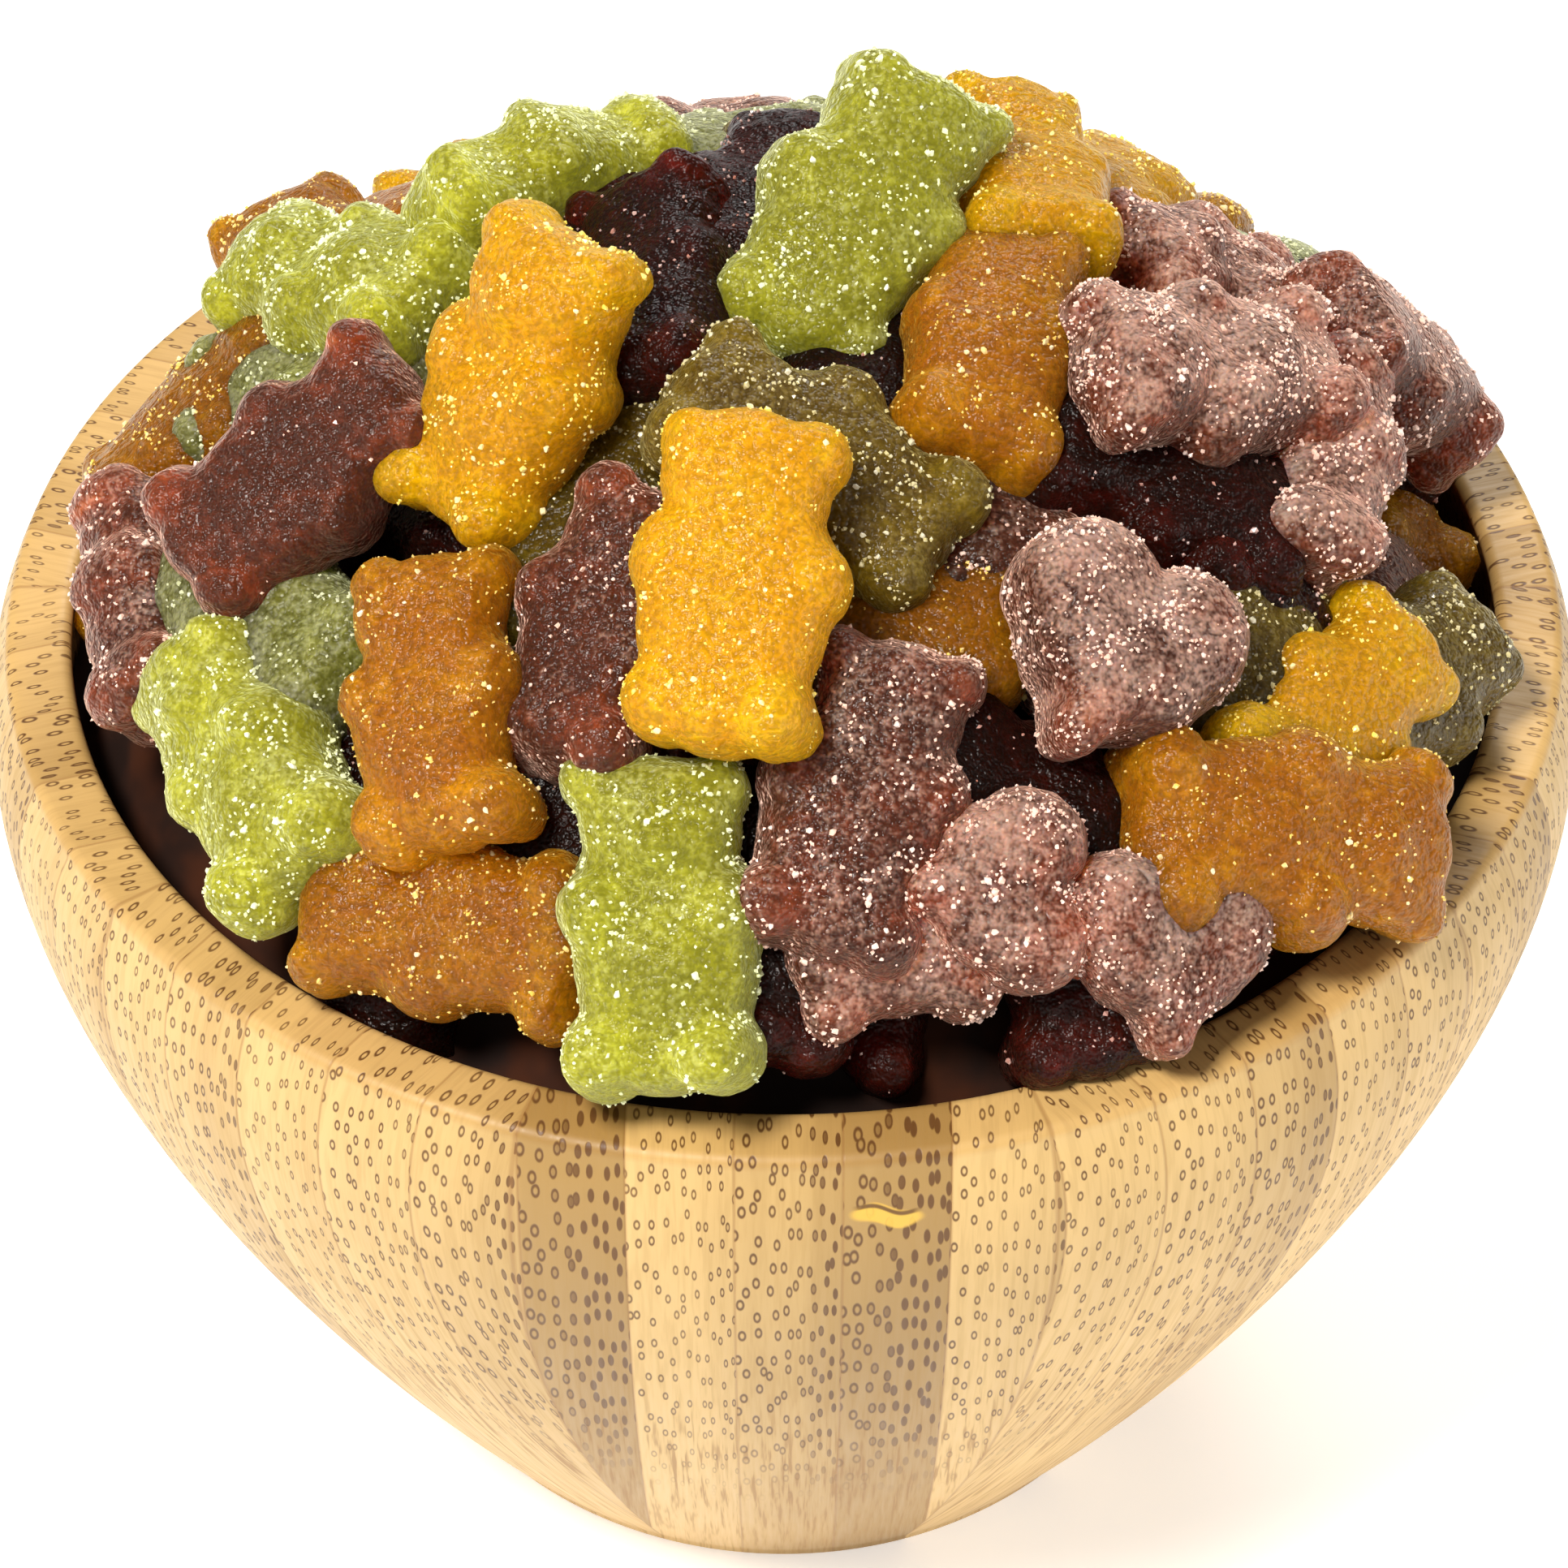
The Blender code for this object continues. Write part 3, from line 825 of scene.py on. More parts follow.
@dataclass
class Bowl:
    """The turned bamboo bowl."""

    height: float = 76 * MM
    rim_radius: float = 57.5 * MM
    foot_radius: float = 31.5 * MM
    wall: float = 4.9 * MM
    floor: float = 9 * MM
    rim_round: float = 0.9 * MM
    foot_round: float = 1.2 * MM
    outer_low: Point2 = (44.5 * MM, 22 * MM)
    outer_high: Point2 = (65.3 * MM, 61.5 * MM)
    inner_low: Point2 = (37.5 * MM, 14 * MM)
    inner_high: Point2 = (61.5 * MM, 55 * MM)
    inner_floor_radius: float = 16 * MM
    turns: int = 192

    @staticmethod
    def curve(start: Point2, low: Point2, high: Point2, end: Point2, steps: int) -> list[Point2]:
        """Points of a cubic curve in (radius, height).

        Args:
            start: where the curve starts.
            low: its first handle.
            high: its second handle.
            end: where it ends.
            steps: how many straight runs it is made of.

        Returns:
            The points, both ends included.
        """
        points = []
        for i in range(steps + 1):
            t = i / steps
            weights = ((1 - t) ** 3, 3 * (1 - t) ** 2 * t, 3 * (1 - t) * t * t, t**3)
            corners = (start, low, high, end)
            points.append(tuple(sum(w * c[k] for w, c in zip(weights, corners)) for k in (0, 1)))
        return points

    @staticmethod
    def arc(centre: Point2, radius: float, first: float, last: float, steps: int) -> list[Point2]:
        """Points of an arc about a centre, between two angles in degrees."""
        angles = [math.radians(first + (last - first) * i / steps) for i in range(steps + 1)]
        return [(centre[0] + radius * math.cos(a), centre[1] + radius * math.sin(a)) for a in angles]

    def inner(self) -> list[Point2]:
        """The inner wall's curve, from the bowl's floor to the rim's rounding."""
        start = (self.inner_floor_radius, self.floor)
        end = (self.rim_radius - self.wall, self.height - self.rim_round)
        return self.curve(start, self.inner_low, self.inner_high, end, 36)

    def outer(self) -> list[Point2]:
        """The outer wall's curve, from the foot to the rim's rounding."""
        start = (self.foot_radius, self.foot_round)
        end = (self.rim_radius, self.height - self.rim_round)
        return self.curve(start, self.outer_low, self.outer_high, end, 40)

    def section(self) -> list[Point2]:
        """The wall's whole section, from the axis inside round to the axis under the foot."""
        outer_top = (self.rim_radius - self.rim_round, self.height - self.rim_round)
        inner_top = (self.rim_radius - self.wall + self.rim_round, self.height - self.rim_round)
        foot = (self.foot_radius - self.foot_round, self.foot_round)
        inside = [(0.0, self.floor)] + self.inner()[:-1]
        rim_in = self.arc(inner_top, self.rim_round, 180, 90, 5)
        rim_out = self.arc(outer_top, self.rim_round, 90, 0, 5)
        rim_top = [(rim_in[-1][0] + (rim_out[0][0] - rim_in[-1][0]) * i / 4, self.height) for i in (1, 2, 3)]
        outside = list(reversed(self.outer()))[1:]
        under = self.arc(foot, self.foot_round, 0, -90, 4)[1:] + [(0.0, 0.0)]
        return inside + rim_in + rim_top + rim_out + outside + under

    def hold(self, points: np.ndarray, over_rim: bool, gap: float = 0.35 * MM) -> np.ndarray:
        """Keeps points clear of the wood, inside the bowl or over its rim.

        Args:
            points: rows of x, y, z.
            over_rim: whether they may rest on the rim.
            gap: the space left to the wood.

        Returns:
            The points, moved where they were in the wall.
        """
        radii, heights = map(np.array, zip(*self.inner()))
        held = points.copy()
        r = np.hypot(held[:, 0], held[:, 1])
        room = np.interp(held[:, 2], heights, radii) - gap
        low = held[:, 2] < self.height + (gap if over_rim else 20 * MM)
        outside = low & (r > room)
        rise = outside & over_rim & (held[:, 2] > self.height - 2.2 * MM) & (r > room + 0.9 * MM)
        held[rise, 2] = self.height + gap
        inward = outside & ~rise
        shrink = np.where(inward, room / np.maximum(r, 1e-9), 1.0)
        held[:, 0] *= shrink
        held[:, 1] *= shrink
        return held

    def build(self) -> bpy.types.Object:
        """Turns the bowl and marks its rim and its inside, where its material paints shade.

        Returns:
            The bowl's object.
        """
        mesh = mesh_from(turned(self.section(), self.turns), "bowl")
        mesh.shade_smooth()
        points, normals = points_of(mesh), normals_of(mesh)
        r = np.hypot(points[:, 0], points[:, 1])
        outward = (points[:, 0] * normals[:, 0] + points[:, 1] * normals[:, 1]) / np.maximum(r, 1e-9)
        top = np.clip((points[:, 2] - (self.height - self.rim_round)) / (self.rim_round * 0.6), 0, 1)
        floor = (points[:, 2] > self.floor - 1e-6) & (r < self.inner_floor_radius * 1.2)
        within = ((outward < -0.2) | floor) & (top < 0.5)
        note_value(mesh, "rim", top)
        note_value(mesh, "inside", within.astype(float))
        return show("turned_bowl", mesh)


# ---------------------------------------------------------------------------------------------
# The sweets
# ---------------------------------------------------------------------------------------------


@dataclass(frozen=True)
class Lobe:
    """One rounded bump of a mould, in millimetres, cut flat at its top where it has one."""

    centre: Point3
    radii: Point3
    top: float = 20.0


@dataclass(frozen=True)
class Mould:
    """A sweet's mould: lobes that run together, cut flat at its back.

    softening is how often the finest skin is smoothed, and swell how much of what a cut takes away
    still stands proud of it.
    """

    lobes: tuple[Lobe, ...]
    back: float
    softening: int = 4
    swell: float = 0.3

    def cast(self, chance: random.Random, voxel: float) -> bpy.types.Mesh:
        """Casts one sweet, a little different each time, with its head towards +Y.

        Args:
            chance: the source of the differences.
            voxel: the edge of the grid that its skin follows.

        Returns:
            The sweet's mesh about its own middle.
        """
        bm = bmesh.new()
        for lobe in self.lobes:
            centre = Vector([c + chance.uniform(-0.3, 0.3) for c in lobe.centre]) * MM
            radii = Vector([r * chance.uniform(0.93, 1.06) for r in lobe.radii]) * MM
            place = Matrix.Translation(centre) @ Matrix.Diagonal((*radii, 1))
            made = bmesh.ops.create_icosphere(bm, subdivisions=3, radius=1, matrix=place)["verts"]
            for vert in made:
                held = min(max(vert.co.z, self.back), lobe.top * MM)
                vert.co.z = held + (vert.co.z - held) * self.swell
        skin = remeshed(mesh_from(bm, "casting"), voxel)
        bm = bmesh.new()
        bm.from_mesh(skin)
        bpy.data.meshes.remove(skin)
        rounds = max(1, round(self.softening * (0.45 * MM / voxel) ** 2))
        all_ways = {"use_axis_x": True, "use_axis_y": True, "use_axis_z": True}
        for _ in range(rounds):
            bmesh.ops.smooth_vert(bm, verts=bm.verts, factor=0.5, **all_ways)
        self.warp(bm, chance)
        mesh = mesh_from(bm, "sweet")
        mesh.shade_smooth()
        return mesh

    @staticmethod
    def warp(bm: bmesh.types.BMesh, chance: random.Random) -> None:
        """Bends and twists a sweet a little and makes its skin uneven."""
        bend, twist, lean = chance.uniform(-9, 9), chance.uniform(-0.35, 0.35), chance.uniform(-0.05, 0.05)
        shift = Vector((chance.uniform(-9, 9), chance.uniform(-9, 9), chance.uniform(-9, 9)))
        bm.normal_update()
        for vert in bm.verts:
            x, y, z = vert.co
            angle = twist * y / (12 * MM)
            x, z = x * math.cos(angle) - z * math.sin(angle), x * math.sin(angle) + z * math.cos(angle)
            moved = Vector((x + lean * y + bend * y * y * 0.6, y, z - bend * y * y))
            coarse = noise.noise(vert.co * 190 + shift) * 0.34 * MM
            fine = noise.noise(vert.co * 700 + shift) * 0.18 * MM
            vert.co = moved + vert.normal * (coarse + fine)


BEAR = Mould(
    (
        Lobe((0.0, -1.8, 0.0), (6.2, 8.6, 6.0), 3.6),
        Lobe((0.0, -2.6, 1.9), (4.4, 4.8, 3.3)),
        Lobe((0.0, 3.2, 0.0), (5.7, 4.6, 5.6), 3.3),
        Lobe((0.0, 6.6, 0.0), (5.6, 4.8, 6.0), 3.8),
        Lobe((0.0, 5.4, 3.2), (2.6, 2.0, 2.2)),
        Lobe((4.0, 9.2, 0.0), (2.3, 2.2, 4.2), 2.8),
        Lobe((-4.0, 9.2, 0.0), (2.3, 2.2, 4.2), 2.8),
        Lobe((4.7, 0.9, 0.0), (2.5, 3.0, 4.6), 3.2),
        Lobe((-4.7, 0.9, 0.0), (2.5, 3.0, 4.6), 3.2),
        Lobe((4.0, 0.5, 3.0), (2.2, 2.4, 1.9)),
        Lobe((-4.0, 0.5, 3.0), (2.2, 2.4, 1.9)),
        Lobe((0.0, -8.0, 0.0), (4.2, 3.2, 5.2), 3.0),
        Lobe((3.9, -8.3, 0.0), (2.9, 3.0, 4.8), 3.4),
        Lobe((-3.9, -8.3, 0.0), (2.9, 3.0, 4.8), 3.4),
        Lobe((3.9, -8.6, 3.0), (2.4, 2.4, 1.9)),
        Lobe((-3.9, -8.6, 3.0), (2.4, 2.4, 1.9)),
    ),
    back=-4.0 * MM,
)

HEART = Mould(
    (
        Lobe((3.1, 2.0, 0.0), (4.3, 4.6, 5.2), 3.3),
        Lobe((-3.1, 2.0, 0.0), (4.3, 4.6, 5.2), 3.3),
        Lobe((0.0, -1.4, 0.0), (4.2, 4.6, 5.2), 3.3),
        Lobe((1.6, -0.2, 0.0), (4.4, 4.4, 5.2), 3.3),
        Lobe((-1.6, -0.2, 0.0), (4.4, 4.4, 5.2), 3.3),
        Lobe((0.0, -4.8, 0.0), (1.9, 2.6, 4.6), 3.0),
    ),
    back=-3.3 * MM,
    softening=5,
)

MOULDS: dict[Shape, Mould] = {Shape.BEAR: BEAR, Shape.HEART: HEART}


@dataclass(frozen=True)
class Lying:
    """How one sweet lies on the heap.

    x, y and lift over the dome are in millimetres. heading is its head's direction in degrees.
    roll is 0 with its front up and 180 with its back up. lean raises its head from the heap.
    frost is how much sugar it wears, 1 being usual.
    """

    flavour: Flavour
    x: float
    y: float
    heading: float
    roll: float
    lean: float
    lift: float
    size: float
    frost: float = 1.0
    shape: Shape = Shape.BEAR


NEAR_SWEETS: tuple[Lying, ...] = (
    # the crown
    Lying(LIME, 5, 0, 62, 205, 33, 4, 1.06, 0.9),
    Lying(LIME, -17, 11, 215, 70, 15, 1, 0.98),
    Lying(PLUM, -2, 8, 65, 180, 0, -1.5, 0.92),
    Lying(SAGE, -5, 23, 20, 180, 0, -5, 1.0),
    Lying(PLUM, -9, -4, 85, 160, 0, 0, 1.0),
    Lying(LEMON, 17, 8, 95, 180, 0, 3, 0.92, 0.7),
    Lying(AMBER, 14, -9.5, 85, 180, 2, 2, 0.92, 0.6),
    Lying(LEMON, 22, 22, 60, 180, 5, -4, 1.0),
    Lying(PLUM, 6, -8, 85, 180, 0, -3, 1.0),
    Lying(PLUM, -12, 1, 245, 180, 0, -3, 1.0),
    # the right side
    Lying(RUSSET, 31, 11, 210, 0, 10, -2, 1.0, 1.1),
    Lying(RUSSET, 29, -9, 200, 0, 5, 5, 0.98, 1.3),
    Lying(RUSSET, 44, 8, 205, 180, 10, 2, 0.95, 0.8),
    Lying(RUSSET, 37, -9, 85, 90, 0, 0, 1.0, 1.3),
    Lying(PLUM, 26, -15, 170, 180, 0, -1, 0.95),
    Lying(PLUM, 33, -12, 85, 180, 0, -3, 1.0),
    Lying(RUSSET, 22, -31, 75, 0, 0, 4, 1.16, 1.3, Shape.HEART),
    Lying(LEMON, 37, -27, 60, 180, 0, 0, 0.92, 0.8),
    Lying(OLIVE, 43, -19, 45, 180, 0, -3, 0.92),
    Lying(AMBER, 33.5, -37, 3, 0, 8, 3, 1.08, 0.6),
    Lying(RUSSET, 14, -21, 145, 180, 0, -4, 1.0, 0.6),
    Lying(AMBER, 10, -27, 40, 180, 0, -4, 1.0, 0.6),
    Lying(OLIVE, 31, -23, 85, 180, 0, -3, 1.0),
    # the front
    Lying(RUSSET, 14, -44.5, 0, 0, 0, 2, 0.96, 1.3, Shape.HEART),
    Lying(RUSSET, 25, -45, 105, 0, 0, 2, 1.0, 1.2, Shape.HEART),
    Lying(RUSSET, 10, -44, 15, 180, 0, -3, 0.95, 1.4),
    Lying(PLUM, 19, -42, 110, 180, 0, -5, 0.9),
    Lying(RUSSET, 5, -40, 80, 180, 0, 0, 1.0, 0.8),
    Lying(PLUM, 17, -37, 150, 180, 0, -4, 1.0),
    Lying(LEMON, -3, -33, 80, 180, 5, 8, 1.0, 0.7),
    Lying(LIME, -8, -46.5, 85, 0, -4, 1, 1.0),
    Lying(PLUM, 0, -43, 85, 180, 0, -6, 0.9),
    Lying(AMBER, -22, -42, 170, 180, 0, -3, 0.95),
    # the left side
    Lying(LEMON, -18, -15, 45, 0, 35, 6, 1.0, 1.0),
    Lying(AMBER, -23, -34, 83, 180, 0, 4, 0.92, 0.6),
    Lying(OLIVE, 2, -20, 150, 180, 15, 1, 1.0, 1.0),
    Lying(OLIVE, -13, -20, 70, 180, 0, -3, 1.0, 0.5),
    Lying(RUSSET, -12, -30, 65, 180, 0, 1, 0.95, 0.4),
    Lying(PLUM, -14, -37, 80, 180, 0, -6, 0.95),
    Lying(LIME, -36, -31, 103, -10, 0, 1, 0.96, 1.2),
    Lying(RUSSET, -44, -13, 90, 90, 5, -2, 0.95, 0.8),
    Lying(RUSSET, -33, -15, 22, 205, 0, 4, 0.94, 0.05),
    Lying(SAGE, -36, -20, 135, 180, 0, -2, 1.0),
    Lying(LIME, -31, 5, 140, 0, 5, 2, 0.95, 1.0),
    Lying(SAGE, -33, 1, 350, 0, 0, -3, 1.0),
    Lying(AMBER, -35, 14, 110, 180, 5, -1, 1.0),
    Lying(AMBER, -41, 2, 20, 180, 0, -2, 0.95),
    Lying(AMBER, -28, 23, 335, 180, 0, -5, 1.0),
    Lying(PLUM, -28, -31, 135, 180, 0, -7.5, 0.9),
)


@dataclass
class Sugar:
    """One kind of loose crystal: gathers where they sit, then makes them as one mesh.

    white is how far the palest crystal goes to white, sunk how deep they sit as a share of their
    size, clumped how unevenly they lie, and blocky whether they are lumps of many facets.
    """

    name: str
    flavours: tuple[Flavour, ...]
    seed: int
    white: float
    small: float = 0.14 * MM
    large: float = 0.34 * MM
    per_mm2: float = 1.8
    blocky: bool = False
    sunk: float = 0.35
    clumped: float = 2.4
    places: list[np.ndarray] = field(default_factory=list)
    tints: list[np.ndarray] = field(default_factory=list)

    def __post_init__(self) -> None:
        """Starts the crystals' own source of chance."""
        self.chance = np.random.default_rng(self.seed)

    def dust(self, mesh: bpy.types.Mesh, colour: Colour, frost: float, heap: Heap) -> None:
        """Chooses where crystals sit on one sweet.

        Args:
            mesh: the sweet in its place.
            colour: the colour that the crystals take from it.
            frost: how much sugar it wears.
            heap: the heap, which says how well a place is seen.
        """
        mesh.calc_loop_triangles()
        corners = np.empty(len(mesh.loop_triangles) * 3, dtype=np.int32)
        mesh.loop_triangles.foreach_get("vertices", corners)
        tri = points_of(mesh)[corners.reshape(-1, 3)]
        cross = np.cross(tri[:, 1] - tri[:, 0], tri[:, 2] - tri[:, 0])
        area = np.linalg.norm(cross, axis=1) / 2
        normal = cross / np.maximum(area[:, None] * 2, 1e-15)
        centre = tri.mean(axis=1)
        weight = area * np.clip(0.55 + 0.45 * normal[:, 2], 0.15, 1.0)
        weight *= heap.seen(centre)
        clump = np.array([noise.noise(Vector(c) * 420) for c in centre])
        weight *= np.clip(0.55 + self.clumped * clump, 0.05, 3.0)
        count = int(weight.sum() / MM**2 * self.per_mm2 * frost)
        if count < 1:
            return
        pick = self.chance.choice(len(tri), size=count, p=weight / weight.sum())
        u, v = self.chance.random(count), self.chance.random(count)
        flip = u + v > 1
        u[flip], v[flip] = 1 - u[flip], 1 - v[flip]
        a, b, c = tri[pick, 0], tri[pick, 1], tri[pick, 2]
        where = a + (b - a) * u[:, None] + (c - a) * v[:, None]
        size = self.small + (self.large - self.small) * self.chance.random(count) ** 1.6
        where += normal[pick] * (size * (0.5 - self.sunk))[:, None]
        self.places.append(np.column_stack((where, size)))
        pale = self.white * self.chance.random(count)[:, None]
        self.tints.append(np.array(colour) * (1 - pale) + pale)

    def grain(self) -> bpy.types.Mesh:
        """One crystal of size 1 with uneven corners: a lump of many facets, or a double point."""
        bm = bmesh.new()
        if self.blocky:
            bmesh.ops.create_icosphere(bm, subdivisions=1, radius=0.5)
        else:
            bmesh.ops.create_uvsphere(bm, u_segments=4, v_segments=2, radius=0.62)
        chance = random.Random(self.seed)
        for vert in bm.verts:
            vert.co += Vector([chance.uniform(-0.13, 0.13) for _ in range(3)])
        bmesh.ops.triangulate(bm, faces=bm.faces)
        return mesh_from(bm, "grain")

    def build(self) -> bpy.types.Object:
        """Sets a turned and stretched copy of the crystal at each place.

        Returns:
            The crystals' object.
        """
        grain = self.grain()
        shape = points_of(grain)
        faces = np.array([tuple(face.vertices) for face in grain.polygons])
        bpy.data.meshes.remove(grain)
        places, tints = np.concatenate(self.places), np.concatenate(self.tints)
        count = len(places)
        turn = self.chance.normal(size=(count, 4))
        turn /= np.linalg.norm(turn, axis=1)[:, None]
        w, x, y, z = turn.T
        spin = np.empty((count, 3, 3))
        spin[:, 0] = np.column_stack((1 - 2 * (y * y + z * z), 2 * (x * y - z * w), 2 * (x * z + y * w)))
        spin[:, 1] = np.column_stack((2 * (x * y + z * w), 1 - 2 * (x * x + z * z), 2 * (y * z - x * w)))
        spin[:, 2] = np.column_stack((2 * (x * z - y * w), 2 * (y * z + x * w), 1 - 2 * (x * x + y * y)))
        stretch = self.chance.uniform(0.7, 1.15, size=(count, 1, 3)) * places[:, 3][:, None, None]
        points = np.einsum("nij,nkj->nki", spin, shape[None] * stretch) + places[:, None, :3]
        offsets = (np.arange(count) * len(shape))[:, None, None]
        mesh = bpy.data.meshes.new(self.name)
        mesh.from_pydata(points.reshape(-1, 3), [], (faces[None] + offsets).reshape(-1, 3))
        layer = mesh.attributes.new("tint", "FLOAT_COLOR", "POINT")
        rgba = np.column_stack((tints, np.ones(count)))
        layer.data.foreach_set("color", np.repeat(rgba, len(shape), axis=0).astype(np.float32).ravel())
        log.info("%s: %d crystals, %d triangles", self.name, count, count * len(faces))
        return show(self.name, mesh)


@dataclass
class Heap:
    """The sweets heaped in the bowl: the laid ones, a layer beneath, and the far slope.

    crown is the dome's height over the rim and spread its radius there. under_lift and far_lift
    are heights over the dome in millimetres, and far_fall lowers the far slope towards the back.
    """

    bowl: Bowl
    crown: float = 30 * MM
    spread: float = 54.5 * MM
    core_depth: float = 11.5 * MM
    under_count: int = 44
    under_lift: float = -8.0
    far_count: int = 68
    far_lift: float = -5.0
    far_fall: float = 0.06
    far_spacing: float = 9.5 * MM
    fine_voxel: float = 0.52 * MM
    plain_voxel: float = 1.05 * MM
    seed: int = 11

    def dome(self, x: float | np.ndarray, y: float | np.ndarray) -> float | np.ndarray:
        """The height of the heap's smooth dome over a point, or over many."""
        share = np.maximum(0.0, 1 - (x * x + y * y) / self.spread**2)
        return self.bowl.height + self.crown * share**0.8

    def seen(self, points: np.ndarray) -> np.ndarray:
        """From 0 to 1, how well a place can be seen from outside the heap."""
        depth = self.dome(points[:, 0], points[:, 1]) - points[:, 2]
        return np.clip(1 - (depth - 5 * MM) / (5 * MM), 0, 1)

    def matrix(self, lying: Lying) -> Matrix:
        """Works out the placing of one sweet.

        Args:
            lying: how it lies.

        Returns:
            The matrix from its mould to its place.
        """
        x, y, step = lying.x * MM, lying.y * MM, 0.5 * MM
        slope_x = (self.dome(x + step, y) - self.dome(x - step, y)) / (2 * step)
        slope_y = (self.dome(x, y + step) - self.dome(x, y - step)) / (2 * step)
        normal = Vector((-slope_x, -slope_y, 1)).normalized()
        angle = math.radians(lying.heading)
        ahead = Vector((math.cos(angle), math.sin(angle), 0))
        ahead = (ahead - ahead.dot(normal) * normal).normalized()
        turn = Matrix((ahead.cross(normal), ahead, normal)).transposed().to_4x4()
        tip = Matrix.Rotation(math.radians(lying.lean), 4, "X")
        spin = Matrix.Rotation(math.radians(lying.roll), 4, "Y")
        place = Matrix.Translation((x, y, self.dome(x, y) + lying.lift * MM))
        return place @ turn @ tip @ spin @ Matrix.Scale(lying.size, 4)

    def spiral(self, count: int, inset: float) -> list[Point2]:
        """Points spread evenly over the heap's disc, short of its edge by an inset."""
        reach = self.spread - inset
        points = []
        for i in range(count):
            radius, turn = reach * math.sqrt((i + 0.5) / count), i * GOLDEN_ANGLE
            points.append((radius * math.cos(turn), radius * math.sin(turn)))
        return points

    def fill(self) -> list[Lying]:
        """Lays the layer beneath, and the far slope where no listed sweet has been laid.

        Returns:
            How each of those sweets lies.
        """
        chance = random.Random(self.seed)
        flavours = (LEMON, AMBER, LIME, SAGE, OLIVE, RUSSET, RUSSET, PLUM)
        laid = []
        for x, y in self.spiral(self.under_count, 9 * MM):
            heading, roll = chance.uniform(0, 360), chance.choice((0, 90, 180, 270))
            flavour = chance.choice((PLUM, PLUM, RUSSET, OLIVE, AMBER)) if y < 0 else chance.choice(flavours)
            size = chance.uniform(0.92, 1.04)
            steep = -5.0 if math.hypot(x, y) > 34 * MM else 0.0
            lift = self.under_lift + steep
            laid.append(Lying(flavour, x / MM, y / MM, heading, roll, 0, lift, size, 0.5))
        placed = [Vector((sweet.x, sweet.y)) * MM for sweet in NEAR_SWEETS]
        for x, y in self.spiral(self.far_count, 6.5 * MM):
            heading, roll = chance.uniform(0, 360), chance.choice((0, 0, 180, 180, 90))
            lean, size = chance.uniform(-12, 20), chance.uniform(0.92, 1.04)
            flavour = flavours[len(laid) * 3 % len(flavours)]
            shape = chance.choice((Shape.BEAR,) * 7 + (Shape.HEART,))
            here = Vector((x, y))
            if y > 0 and min((here - other).length for other in placed) > self.far_spacing:
                placed.append(here)
                lift = self.far_lift - self.far_fall * y / MM
                laid.append(Lying(flavour, x / MM, y / MM, heading, roll, lean, lift, size, 1.0, shape))
        return laid

    def lay(self, lying: Lying, number: int, voxel: float) -> bpy.types.Mesh:
        """Casts a sweet and lays it in its place.

        Args:
            lying: how it lies.
            number: its number, which makes it unlike the others.
            voxel: how fine its skin is.

        Returns:
            Its mesh in its place, with what its material reads.
        """
        chance = random.Random(1000 + number)
        mesh = MOULDS[lying.shape].cast(chance, voxel)
        mesh.transform(self.matrix(lying))
        set_points(mesh, self.bowl.hold(points_of(mesh), number < len(NEAR_SWEETS)))
        points, normals = points_of(mesh), normals_of(mesh)
        bm = bmesh.new()
        bm.from_mesh(mesh)
        tree = BVHTree.FromBMesh(bm)
        bm.free()
        # how thin the jelly is at each point, which the material reads to paint a glow of light where thin
        # and partly painted shade where thick
        thick = np.array([self.flesh_depth(tree, Vector(p), -Vector(n)) for p, n in zip(points, normals)])
        note_value(mesh, "thin", np.clip(1.25 - thick / (6.5 * MM), 0, 1))
        note_value(mesh, "tone", np.full(len(points), chance.random()))
        up = np.clip(0.62 + 0.5 * normals[:, 2], 0.1, 1.1)
        note_value(mesh, "rime", up * lying.frost)
        return mesh

    @staticmethod
    def flesh_depth(tree: BVHTree, point: Vector, inward: Vector) -> float:
        """Measures how much jelly lies behind a point of a sweet's skin.

        Args:
            tree: the skin.
            point: the point on it.
            inward: the direction into the sweet.

        Returns:
            The mean way through, straight in and to four sides.
        """
        side = inward.orthogonal().normalized()
        other = inward.cross(side)
        start = point + inward * 0.15 * MM
        total = 0.0
        for way in (inward, inward + side, inward - side, inward + other, inward - other):
            hit = tree.ray_cast(start, way.normalized(), 9 * MM)
            total += hit[3] if hit[0] is not None else 9 * MM
        return total / 5

    def core(self) -> bpy.types.Object:
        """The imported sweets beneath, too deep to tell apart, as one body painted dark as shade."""
        gap = 0.4 * MM
        shoulder = self.bowl.height - self.core_depth
        side = [(r - gap, z + gap) for r, z in self.bowl.inner() if z < shoulder - 1 * MM]
        reach = side[-1][0]
        radii = [reach * i / 24 for i in range(24, -1, -1)]
        top = [(radius, self.dome(radius, 0) - self.core_depth) for radius in radii]
        bm = turned([(0.0, self.bowl.floor + gap)] + side + top, 96)
        for vert in bm.verts:
            if vert.co.z > shoulder and vert.co.xy.length < reach - 1 * MM:
                vert.co.z += noise.noise(vert.co * 110) * 2.5 * MM
        mesh = mesh_from(bm, "packed_core")
        mesh.shade_smooth()
        return show("packed_core", mesh)

